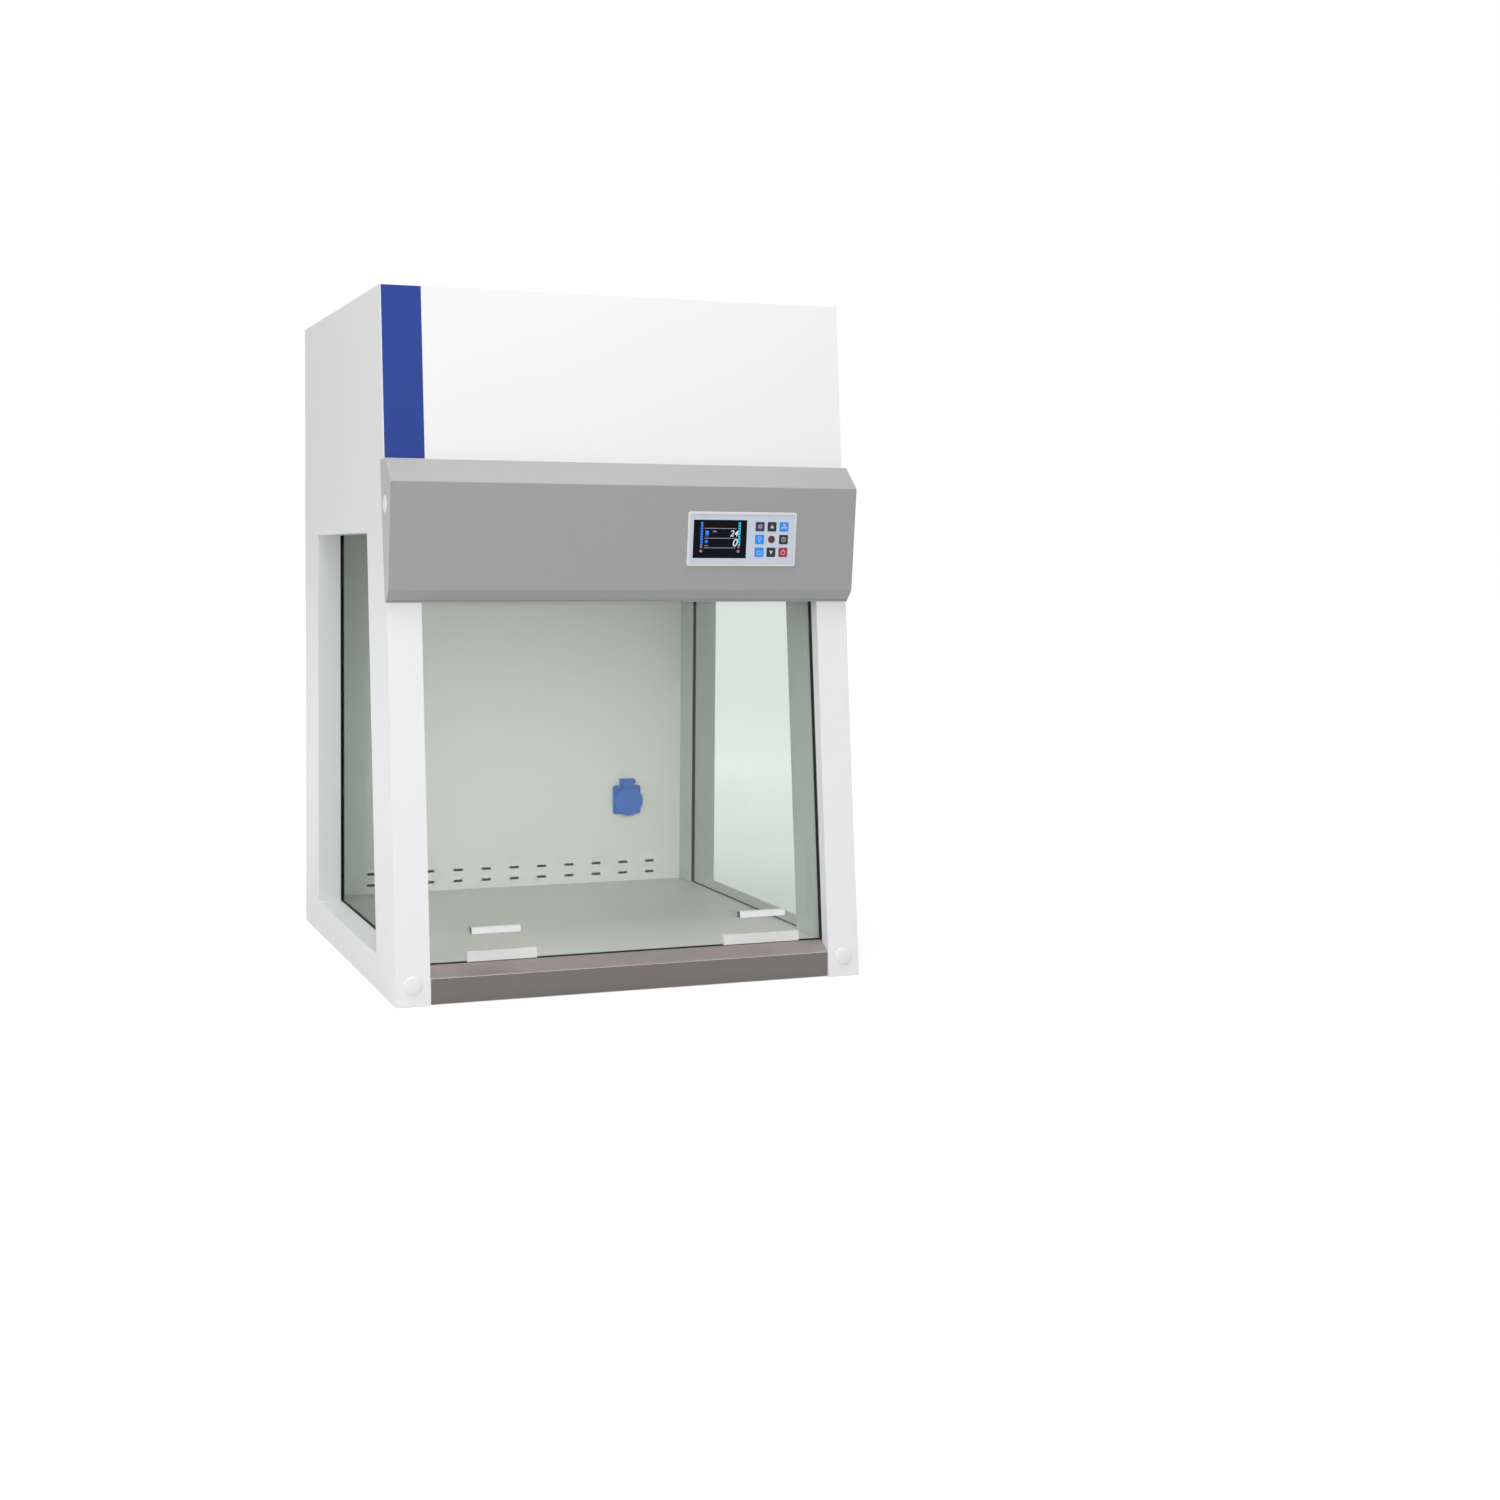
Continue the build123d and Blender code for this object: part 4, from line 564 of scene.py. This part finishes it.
def block(name, centre, size, edge=0.0, place=None):
    """A block with its edges rounded."""
    bpy.ops.object.select_all(action="DESELECT")
    bpy.ops.mesh.primitive_cube_add(size=1, location=centre, scale=size)
    piece = settle(named(name))
    if edge:
        edit(piece)
        bpy.ops.mesh.bevel(offset=edge, segments=2, affect="EDGES")
        leave()
    return settle(piece, place)


def disc(name, centre, radius, thickness, sides=32, edge=0.0, place=None):
    """A round or many-sided plate with its rims rounded, square to local Z."""
    bpy.ops.object.select_all(action="DESELECT")
    bpy.ops.mesh.primitive_cylinder_add(vertices=sides, radius=radius, depth=thickness, location=centre)
    piece = settle(named(name))
    if edge:
        select_faces(piece, lambda at, normal: abs(normal.z) > 0.9)
        bpy.ops.mesh.region_to_loop()
        bpy.ops.mesh.bevel(offset=edge, segments=2, affect="EDGES")
        leave()
    return settle(piece, place)


def hoop(name, centre, radius, width, thickness, place=None):
    """A flat ring, square to local Z."""
    bpy.ops.object.select_all(action="DESELECT")
    bpy.ops.mesh.primitive_torus_add(
        location=centre, major_radius=radius, minor_radius=width / 2, major_segments=28, minor_segments=6
    )
    piece = named(name)
    piece.scale = (1, 1, thickness / width)
    return settle(piece, place)


def joined(name, parts):
    """Joins parts to one piece."""
    bpy.ops.object.select_all(action="DESELECT")
    for part in parts:
        part.select_set(True)
    bpy.context.view_layer.objects.active = parts[0]
    bpy.ops.object.join()
    return named(name)


def copy_of(node, name):
    """A merged copy of a node's mesh, its flat faces whole, to be finished as a new piece."""
    piece = bpy.data.objects.new(name, NODES[node].data.copy())
    piece.data.name = name
    bpy.context.scene.collection.objects.link(piece)
    edit(piece)
    bpy.ops.mesh.customdata_custom_splitnormals_clear()
    bpy.ops.mesh.remove_doubles(threshold=0.004 * MM)
    bpy.ops.mesh.dissolve_limited(angle_limit=radians(0.6))
    leave()
    return piece


def soften(piece, radius, smooth=32.0):
    """Rounds the sharp edges of a piece and smooths its bends, while its flat faces stay flat."""
    alone(piece)
    if radius:
        edges = piece.modifiers.new("Edges", "BEVEL")
        edges.width = radius
        edges.segments = 2
        edges.limit_method = "ANGLE"
        edges.angle_limit = radians(40)
        bpy.ops.object.modifier_apply(modifier=edges.name)
    bpy.ops.object.shade_smooth_by_angle(angle=radians(smooth))
    flats = piece.modifiers.new("Flats", "WEIGHTED_NORMAL")
    flats.keep_sharp = True
    bpy.ops.object.modifier_apply(modifier=flats.name)
    return piece


def complete(piece, finish, body, replaced=()):
    """Gives a piece its finish and the body that it moves with, and hides the nodes that it stands for."""
    piece.data.materials.clear()
    piece.data.materials.append(FINISHES[finish])
    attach(piece, body)
    if replaced:
        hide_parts(*replaced)
    return piece


def dress(node, name, radius, smooth=32.0):
    """A node's softened copy in the node's own finish, which stands for the node."""
    piece = soften(copy_of(node, name), radius, smooth)
    return complete(piece, SLOT_OF[node], BODY_OF[node], [node])


def second_finish(piece, finish, wanted):
    """Gives the wanted faces of a piece another finish."""
    piece.data.materials.append(FINISHES[finish])
    index = len(piece.data.materials) - 1
    for face in piece.data.polygons:
        if wanted(face.center, face.normal):
            face.material_index = index


def middle(node):
    """The centre of a node's box."""
    low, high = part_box(node)
    return (low + high) / 2


def panel_axes():
    """The control panel's frame: X to the right, Y up the hood face, Z out of it."""
    size = sizes()
    origin = Vector((size.panel_x, size.panel_y, size.panel_z))
    return Matrix.Translation(origin) @ Matrix.Rotation(radians(90) + size.panel_tilt, 4, "X")


def front_axes(point):
    """A frame on the leaning front: X to the right, Y up the slope, Z out of it."""
    return Matrix.Translation(point) @ Matrix.Rotation(radians(90) - sizes().front_lean, 4, "X")


# ---- Pieces ----


class CABINET_OT_nodes(bpy.types.Operator):
    """Gives every node of the frame the finish of its slot"""

    bl_idname = "cabinet.nodes"
    bl_label = "Frame finishes"

    def execute(self, context):
        make_finishes()
        for node, slot in SLOT_OF.items():
            skin = NODES[node].data
            skin.materials.clear()
            skin.materials.append(FINISHES[slot])
            for face in skin.polygons:
                face.material_index = 0
        return {"FINISHED"}


class CABINET_OT_skins(bpy.types.Operator):
    """Folded white skins of the body, with rounded bends"""

    bl_idname = "cabinet.skins"
    bl_label = "White skins"

    def execute(self, context):
        fold = sizes().fold_round
        dress("left_side_panel", "left_skin", fold)
        dress("right_side_panel", "right_skin", fold)
        dress("head_front_panel", "head_front_skin", sizes().cut_round)
        dress("top_cover", "top_skin", sizes().cut_round)
        dress("rear_cover", "rear_skin", sizes().cut_round)
        for side in ("left", "right"):
            liner = dress(f"{side}_side_liner", f"{side}_liner_skin", sizes().cut_round)
            # The liners round the side glasses get the darker coat, which paints the shade on them.
            liner.data.materials[0] = FINISHES["side_liner"]
        return {"FINISHED"}


class CABINET_OT_hood(bpy.types.Operator):
    """Grey folded control hood, its cheeks painted lighter for the light that falls on them"""

    bl_idname = "cabinet.hood"
    bl_label = "Control hood"

    def execute(self, context):
        hood = dress("control_hood", "hood_shell", sizes().cut_round)
        low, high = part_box("control_hood")
        reach = high.x - 0.1 * MM
        # The cheek faces get the lighter grey, which paints the light that falls on them.
        second_finish(hood, "cheek_painted_light", lambda at, normal: abs(at.x) > reach and abs(normal.x) > 0.9)
        return {"FINISHED"}


class CABINET_OT_caps(bpy.types.Operator):
    """Domed snap caps over the fixing screws"""

    bl_idname = "cabinet.caps"
    bl_label = "Screw caps"

    def execute(self, context):
        size = sizes()
        low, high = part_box("screw_caps")
        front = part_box("right_side_panel")[0].y
        caps = []
        post_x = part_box("right_side_panel")[1].x - 28 * MM
        foot = Vector((0, front, 0))
        climb = 33 * MM / cos(size.front_lean)
        rise = Vector((0, sin(size.front_lean), cos(size.front_lean))) * climb
        for side in (-1, 1):
            place = front_axes(foot + rise + Vector((side * post_x, 0, 0)))
            caps.append(self.cap(size, place))
            cheek = Vector((side * (high.x - size.cap_rise), front + 70 * MM, 785 * MM))
            turned = Matrix.Rotation(radians(90 * side), 4, "Y")
            caps.append(self.cap(size, Matrix.Translation(cheek) @ turned))
        piece = soften(joined("snap_caps", caps), 0, 50)
        complete(piece, "white_plastic", "cabinet", ["screw_caps"])
        return {"FINISHED"}

    def cap(self, size, place):
        """One low dome: a disc whose face is stepped inwards and up."""
        lower = 1.1 * MM
        piece = disc("cap", (0, 0, lower / 2), size.cap_radius, lower, 40)
        select_faces(piece, lambda at, normal: normal.z > 0.9)
        steps = ((0.8, 0.7), (1.4, 0.6), (2.6, 0.4), (4.2, 0.3))
        for inward, upward in steps:
            bpy.ops.mesh.inset(thickness=inward * MM, depth=upward * MM)
        leave()
        return settle(piece, place)


class CABINET_OT_control_panel(bpy.types.Operator):
    """Panel frame, printed film, display picture and key signs"""

    bl_idname = "cabinet.control_panel"
    bl_label = "Control panel"

    def execute(self, context):
        size = sizes()
        dress("panel_frame", "panel_surround", 0.3 * MM)
        axes = panel_axes()
        lift = size.display_lift + size.print_thickness / 2
        self.picture(axes @ Matrix.Translation((size.display_x, 0, lift)), size.print_thickness)
        for node in (
            "uv_key", "up_key", "fan_key", "lamp_key", "timer_key", "socket_key", "down_key", "power_key"
        ):
            dress(node, node + "_cap", 0.2 * MM)
            spot = axes.inverted() @ middle(node)
            place = axes @ Matrix.Translation((spot.x, spot.y, size.key_lift + size.print_thickness / 2))
            sign = joined(node + "_sign", getattr(self, node)(place, size.print_thickness))
            complete(sign, "pale_print", BODY_OF[node])
        return {"FINISHED"}

    def picture(self, place, thick):
        """What the display shows: two bars of segments, three lines, two numbers and small signs."""

        def plate(x, y, width, height, edge=0.0):
            return block("mark", (x * MM, y * MM, 0), (width * MM, height * MM, thick), edge * MM, place)

        def bar(x):
            return [plate(x, 26.2 - 4.4 * step, 3.9, 3.5, 0.03) for step in range(9)]

        marks = {
            "display_left_bar": ("blue_ink", bar(-33.0)),
            "display_right_bar": ("cyan_ink", bar(34.2)),
            "display_limits": ("red_ink", [plate(-33.4, -13.2, 3.9, 3.5), plate(33.6, -13.2, 3.9, 3.5)]),
            "display_lines": ("line_ink", [
                plate(0.2, 17.6, 57, 1.1), plate(0, 1.4, 57, 1.1), plate(-0.2, -14.6, 57, 1.1),
                plate(-33.4, -20.0, 4.6, 4.0, 0.03), plate(33.2, -20.0, 4.6, 4.0, 0.03),
                plate(-10.0, 12.4, 6.5, 2.2), plate(-24.0, 5.0, 6.0, 1.0), plate(-24.4, -11.0, 7.0, 1.4),
            ]),
            "display_signs": ("blue_ink", [
                plate(-23.4, 10.4, 6.0, 6.4, 0.03),
                disc("mark", (-24.4 * MM, -4.2 * MM, 0), 2.9 * MM, thick, 6, 0, place),
            ]),
            "display_numbers": ("white_ink", [
                self.number("24", (17.0, 4.6), 10.5, place, thick),
                self.number("0", (21.6, -11.8), 13.0, place, thick),
            ]),
        }
        for name, (finish, parts) in marks.items():
            complete(joined(name, parts), finish, "cabinet")

    def number(self, digits, corner, height, place, thick):
        """Plain digits as a thin raised mesh."""
        bpy.ops.object.select_all(action="DESELECT")
        bpy.ops.object.text_add()
        text = bpy.context.object
        text.data.body = digits
        text.data.size = height * MM * 1.38
        text.data.shear = 0.25
        text.data.extrude = thick / 2
        text.data.offset = 0.12 * MM
        alone(text)
        bpy.ops.object.convert(target="MESH")
        piece = bpy.context.object
        piece.location = (corner[0] * MM, corner[1] * MM, 0)
        edit(piece)
        bpy.ops.mesh.remove_doubles(threshold=0.001 * MM)
        leave()
        settle(piece)
        return settle(piece, place)

    def uv_key(self, place, thick):
        """Lamp that radiates: a ring with rays."""
        rays = [
            block(
                "ray", (0, 4.2 * MM, 0), (0.8 * MM, 1.7 * MM, thick), 0,
                place @ Matrix.Rotation(radians(angle), 4, "Z"),
            )
            for angle in range(0, 360, 60)
        ]
        return [hoop("ring", (0, 0, 0), 2.3 * MM, 1.1 * MM, thick, place), *rays]

    def up_key(self, place, thick):
        """Triangle that points up."""
        return [disc("arrow", (0, -0.5 * MM, 0), 4.0 * MM, thick, 3, 0, place)]

    def down_key(self, place, thick):
        """Triangle that points down."""
        over = place @ Matrix.Rotation(radians(180), 4, "Z")
        return [disc("arrow", (0, -0.5 * MM, 0), 4.0 * MM, thick, 3, 0, over)]

    def fan_key(self, place, thick):
        """Three fan blades round a hub."""
        blades = []
        for a in (0, 120, 240):
            blade = disc("blade", (0, 3.3 * MM, 0), 2.2 * MM, thick, 14)
            blade.scale = (0.75, 1, 1)
            blades.append(settle(blade, place @ Matrix.Rotation(radians(a), 4, "Z")))
        return [disc("hub", (0, 0, 0), 1.1 * MM, thick, 12, 0, place), *blades]

    def lamp_key(self, place, thick):
        """Bulb over its cap."""
        return [
            hoop("bulb", (0, 1.2 * MM, 0), 2.9 * MM, 0.9 * MM, thick, place),
            block("cap", (0, -3.2 * MM, 0), (2.8 * MM, 1.0 * MM, thick), 0, place),
            block("foot", (0, -4.6 * MM, 0), (2.0 * MM, 0.8 * MM, thick), 0, place),
        ]

    def timer_key(self, place, thick):
        """Clock face with two hands."""
        return [
            hoop("dial", (0, 0, 0), 3.6 * MM, 0.9 * MM, thick, place),
            block("hand", (0, 1.1 * MM, 0), (0.8 * MM, 2.4 * MM, thick), 0, place),
            block("hand", (0.9 * MM, 0, 0), (2.0 * MM, 0.8 * MM, thick), 0, place),
        ]

    def socket_key(self, place, thick):
        """Socket seen from the front: a frame with two holes."""
        frame_bars = [
            block("bar", (x * MM, y * MM, 0), (w * MM, h * MM, thick), 0, place)
            for x, y, w, h in ((0, -3.8, 8.4, 0.9), (-3.8, -0.6, 0.9, 6.0), (3.8, -0.6, 0.9, 6.0))
        ]
        holes = [disc("hole", (x * MM, 1.2 * MM, 0), 0.9 * MM, thick, 12, 0, place) for x in (-1.3, 1.3)]
        return frame_bars + holes

    def power_key(self, place, thick):
        """Ring with a bar through its top."""
        return [
            hoop("ring", (0, -0.4 * MM, 0), 3.5 * MM, 1.0 * MM, thick, place),
            block("bar", (0, 3.0 * MM, 0), (1.1 * MM, 3.8 * MM, thick), 0, place),
        ]


class CABINET_OT_glazing(bpy.types.Operator):
    """Side glasses and sash glass, clear with green ground edges"""

    bl_idname = "cabinet.glazing"
    bl_label = "Glazing"

    def execute(self, context):
        facets = 2.0
        sides = dress("side_glasses", "side_panes", 0.5 * MM, facets)
        sides.data.materials[0] = FINISHES["side_pane"]
        second_finish(sides, "glass_edge", lambda at, normal: abs(normal.x) < 0.5)
        sash = dress("sash_glass", "sash_pane", 0.5 * MM, facets)
        second_finish(sash, "glass_edge", lambda at, normal: abs(normal.y) < 0.5)
        return {"FINISHED"}


class CABINET_OT_sash_trim(bpy.types.Operator):
    """Pull handles, frosted clips, top rail and a black strip under the sash that paints its shade line"""

    bl_idname = "cabinet.sash_trim"
    bl_label = "Sash trim"

    def execute(self, context):
        size = sizes()
        pulls = dress("sash_handles", "pull_handles", size.moulded_round)
        second_finish(pulls, "end_plug", lambda at, normal: abs(normal.x) > 0.9)
        dress("sash_edge_clips", "edge_clips", size.cut_round)
        dress("sash_top_rail", "top_rail", size.cut_round)
        clips_low, clips_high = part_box("sash_edge_clips")
        # Painted shade: black strips on the sill under the sash's lower edge, between the clips, stand for
        # the shade line under it.
        sill_low, sill_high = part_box("front_sill")
        strips = []
        depth = clips_high.y - clips_low.y - 4 * MM
        edges = (sill_low.x, clips_low.x - 1 * MM, -160 * MM, 164 * MM, clips_high.x + 1 * MM, sill_high.x)
        for start, end in ((edges[0], edges[1]), (edges[2], edges[3]), (edges[4], edges[5])):
            middle = (clips_low.y + clips_high.y) / 2 - 1 * MM
            centre = ((start + end) / 2, middle, sill_high.z + size.shade_strip_height / 2)
            strips.append(block("strip", centre, (end - start, depth, size.shade_strip_height), 0.3 * MM))
        seal = joined("sill_shade_strip", strips)
        complete(seal, "black_rubber", "cabinet")
        return {"FINISHED"}


class CABINET_OT_work_zone(bpy.types.Operator):
    """Stainless sill and work surface"""

    bl_idname = "cabinet.work_zone"
    bl_label = "Work zone"

    def execute(self, context):
        sill = dress("front_sill", "sill", sizes().fold_round)
        sill.data.materials[0] = FINISHES["sill_stainless"]
        # The front face gets the darker stainless, a painted reflection of the bench.
        second_finish(sill, "sill_front_painted_reflection", lambda at, normal: normal.y < -0.9)
        # The bend between top and front gets the painted highlight.
        second_finish(sill, "sill_bend_painted_highlight", lambda at, normal: -0.97 < normal.y < -0.62)
        dress("work_surface", "work_top", sizes().fold_round)
        return {"FINISHED"}


class CABINET_OT_socket(bpy.types.Operator):
    """Blue mains socket and its sprung lid"""

    bl_idname = "cabinet.socket"
    bl_label = "Mains socket"

    def execute(self, context):
        size = sizes()
        dress("socket_body", "socket_housing", size.moulded_round)
        dress("socket_lid", "socket_cover", size.moulded_round)
        dress("mains_inlet", "inlet_housing", size.cut_round)
        return {"FINISHED"}


class CABINET_OT_counterbalance(bpy.types.Operator):
    """Lift cables between sash, pulleys and counterweights"""

    bl_idname = "cabinet.counterbalance"
    bl_label = "Counterbalance"

    def execute(self, context):
        size = sizes()
        slope = Vector((0, sin(size.front_lean), cos(size.front_lean)))
        replaced = ["lift_cables"]
        for side, weight, pulley in ((-1, "left_weight", "left_pulley"), (1, "right_weight", "right_pulley")):
            hub = middle(pulley)
            name = pulley.replace("pulley", "cable")
            inner = hub - Vector((side * size.pulley_pitch, 0, 0))
            outer = hub + Vector((side * size.pulley_pitch, 0, 0))
            sash_end = inner - slope * size.sash_run
            weight_end = outer - slope * size.weight_run
            for run, top, low, body in (
                ("sash_run", inner, sash_end, "sash"), ("weight_run", outer, weight_end, weight)
            ):
                piece = self.rope(f"{name}_{run}", top, low, size)
                piece.data.materials.append(FINISHES["wire_rope"])
                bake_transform(piece)
                if replaced:
                    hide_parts(*replaced)
                    replaced = []
            wrap = self.wrap(f"{name}_wrap", hub, size)
            complete(wrap, "wire_rope", "cabinet")
        return {"FINISHED"}

    def rope(self, name, top, low, size):
        """One straight run of rope, with its ends rounded."""
        reach = (top - low).length
        place = Matrix.Translation((top + low) / 2) @ Matrix.Rotation(-size.front_lean, 4, "X")
        piece = disc(name, (0, 0, 0), size.cable_radius, reach, 12, 0.2 * MM, place)
        return soften(piece, 0, 50)

    def wrap(self, name, hub, size):
        """The half turn of rope over a pulley."""
        bpy.ops.object.select_all(action="DESELECT")
        bpy.ops.mesh.primitive_torus_add(
            major_radius=size.pulley_pitch, minor_radius=size.cable_radius,
            major_segments=48, minor_segments=12,
        )
        piece = named(name)
        edit(piece)
        bpy.ops.mesh.bisect(plane_co=(0, 0, 0), plane_no=(0, 1, 0), use_fill=True, clear_inner=True)
        leave()
        return soften(settle(piece, front_axes(hub)), 0, 50)


class CABINET_OT_stage(bpy.types.Operator):
    """Pale floor, soft studio light and the camera of the photograph"""

    bl_idname = "cabinet.stage"
    bl_label = "Stage"

    def execute(self, context):
        self.floor()
        self.sky()
        self.lamp("overhead softbox", (-0.2, -0.5, 3.2), (0, -0.2, 0.6), 2.4, 78)
        self.lamp("front softbox", (-0.6, -4.6, 1.9), (0, 0, 0.55), 2.4, 54)
        self.lamp("left softbox", (-3.8, -1.2, 1.7), (0, 0, 0.6), 2.2, 34)
        self.camera()
        return {"FINISHED"}

    def floor(self):
        """A matt floor that reads as white to the camera and keeps a soft shadow."""
        bpy.ops.object.select_all(action="DESELECT")
        bpy.ops.mesh.primitive_plane_add(size=60, location=(0, 0, -0.5 * MM))
        ground = named("floor")
        material, tree, shader, place = new_finish("matt white floor")
        wire(tree, shader, {"Base Color": linear("#D4D4D4"), "Roughness": 0.9, "Specular IOR Level": 0.1})
        ray = add(tree, "ShaderNodeLightPath", {})
        seen = add(tree, "ShaderNodeMath", {0: ray.outputs["Is Camera Ray"], 1: ray.outputs["Is Glossy Ray"]},
                   operation="MAXIMUM")
        either = add(tree, "ShaderNodeMath", {0: seen.outputs[0], 1: ray.outputs["Is Transmission Ray"]},
                     operation="MAXIMUM")
        away = add(tree, "ShaderNodeVectorMath", {0: place}, operation="LENGTH")
        fade = add(
            tree, "ShaderNodeMapRange",
            {"Value": away.outputs["Value"], "From Min": 0.7, "From Max": 3.0, "To Min": 0.5, "To Max": 1.0},
        )
        glow = add(tree, "ShaderNodeEmission", {"Color": linear("#FFFFFF"), "Strength": fade.outputs[0]})
        both = add(tree, "ShaderNodeAddShader", {0: shader.outputs[0], 1: glow.outputs[0]})
        mix = add(
            tree, "ShaderNodeMixShader", {0: either.outputs[0], 1: shader.outputs[0], 2: both.outputs[0]}
        )
        output = next(node for node in tree.nodes if node.type == "OUTPUT_MATERIAL")
        tree.links.new(mix.outputs[0], output.inputs["Surface"])
        ground.data.materials.append(material)

    def sky(self):
        """An even pale room: white where it is seen, softer where it lights."""
        world = bpy.data.worlds.new("studio")
        bpy.context.scene.world = world
        world.use_nodes = True
        tree = world.node_tree
        light = next(node for node in tree.nodes if node.type == "BACKGROUND")
        wire(tree, light, {"Color": linear("#FBFCFF"), "Strength": 0.4})
        ray = add(tree, "ShaderNodeLightPath", {})
        surface = light.outputs[0]
        for kind, strength in (("Is Glossy Ray", 0.5), ("Is Transmission Ray", 0.86), ("Is Camera Ray", 1.0)):
            seen = add(tree, "ShaderNodeBackground", {"Color": linear("#FFFFFF"), "Strength": strength})
            mix = add(tree, "ShaderNodeMixShader", {0: ray.outputs[kind], 1: surface, 2: seen.outputs[0]})
            surface = mix.outputs[0]
        output = next(node for node in tree.nodes if node.type == "OUTPUT_WORLD")
        tree.links.new(surface, output.inputs["Surface"])

    def lamp(self, name, place, aim, width, power):
        """One square softbox that points at the cabinet."""
        bpy.ops.object.select_all(action="DESELECT")
        bpy.ops.object.light_add(type="AREA", location=place)
        box = bpy.context.object
        box.name = name
        box.data.size = width
        box.data.energy = power
        box.visible_glossy = False
        box.rotation_euler = (Vector(aim) - Vector(place)).to_track_quat("-Z", "Y").to_euler()

    def camera(self):
        """The photograph's camera: 45 mm lens, from the front left, at the height of the hood."""
        yaw, pitch, roll = 0.3262, -0.0463, 0.0045
        ahead = Vector((sin(yaw) * cos(pitch), cos(yaw) * cos(pitch), sin(pitch)))
        side = Vector((cos(yaw), -sin(yaw), 0))
        above = side.cross(ahead)
        right = side * cos(roll) + above * sin(roll)
        up = above * cos(roll) - side * sin(roll)
        turned = Matrix((right, up, -ahead)).transposed().to_4x4()
        bpy.ops.object.select_all(action="DESELECT")
        bpy.ops.object.camera_add(location=(-1.06275, -3.23091, 0.69851), rotation=turned.to_euler())
        camera = bpy.context.object
        focal_pixels, picture_width, sensor_width = 1889.6, 1500, 36
        axis_right, axis_down = 580.9, 647.5
        camera.data.sensor_width = sensor_width
        camera.data.lens = sensor_width * focal_pixels / picture_width
        camera.data.shift_x = (picture_width / 2 - axis_right) / picture_width
        camera.data.shift_y = (axis_down - picture_width / 2) / picture_width
        bpy.context.scene.camera = camera
        bpy.context.scene.view_settings.view_transform = "Standard"


OPERATORS = (
    CABINET_OT_nodes, CABINET_OT_skins, CABINET_OT_hood, CABINET_OT_caps, CABINET_OT_control_panel,
    CABINET_OT_glazing, CABINET_OT_sash_trim, CABINET_OT_work_zone, CABINET_OT_socket,
    CABINET_OT_counterbalance, CABINET_OT_stage,
)


class CABINET_PT_panel(bpy.types.Panel):
    """Lists the cabinet's operators"""

    bl_idname = "CABINET_PT_panel"
    bl_label = "Laminar flow cabinet"
    bl_space_type = "VIEW_3D"
    bl_region_type = "UI"
    bl_category = "Cabinet"

    def draw(self, context):
        for operator in OPERATORS:
            self.layout.operator(operator.bl_idname)


CLASSES = (CabinetColours, CabinetSizes, *OPERATORS, CABINET_PT_panel)


def register():
    """Registers the classes and the scene's settings."""
    for item in CLASSES:
        bpy.utils.register_class(item)
    bpy.types.Scene.cabinet_colours = PointerProperty(type=CabinetColours)
    bpy.types.Scene.cabinet_sizes = PointerProperty(type=CabinetSizes)


def unregister():
    """Takes them out again."""
    del bpy.types.Scene.cabinet_sizes
    del bpy.types.Scene.cabinet_colours
    for item in reversed(CLASSES):
        bpy.utils.unregister_class(item)


def main():
    """Builds the cabinet's looks round the frame."""
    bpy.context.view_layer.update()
    register()
    bpy.ops.cabinet.nodes()
    bpy.ops.cabinet.skins()
    bpy.ops.cabinet.hood()
    bpy.ops.cabinet.caps()
    bpy.ops.cabinet.control_panel()
    bpy.ops.cabinet.glazing()
    bpy.ops.cabinet.sash_trim()
    bpy.ops.cabinet.work_zone()
    bpy.ops.cabinet.socket()
    bpy.ops.cabinet.counterbalance()
    bpy.ops.cabinet.stage()


if __name__ == "__main__":
    main()
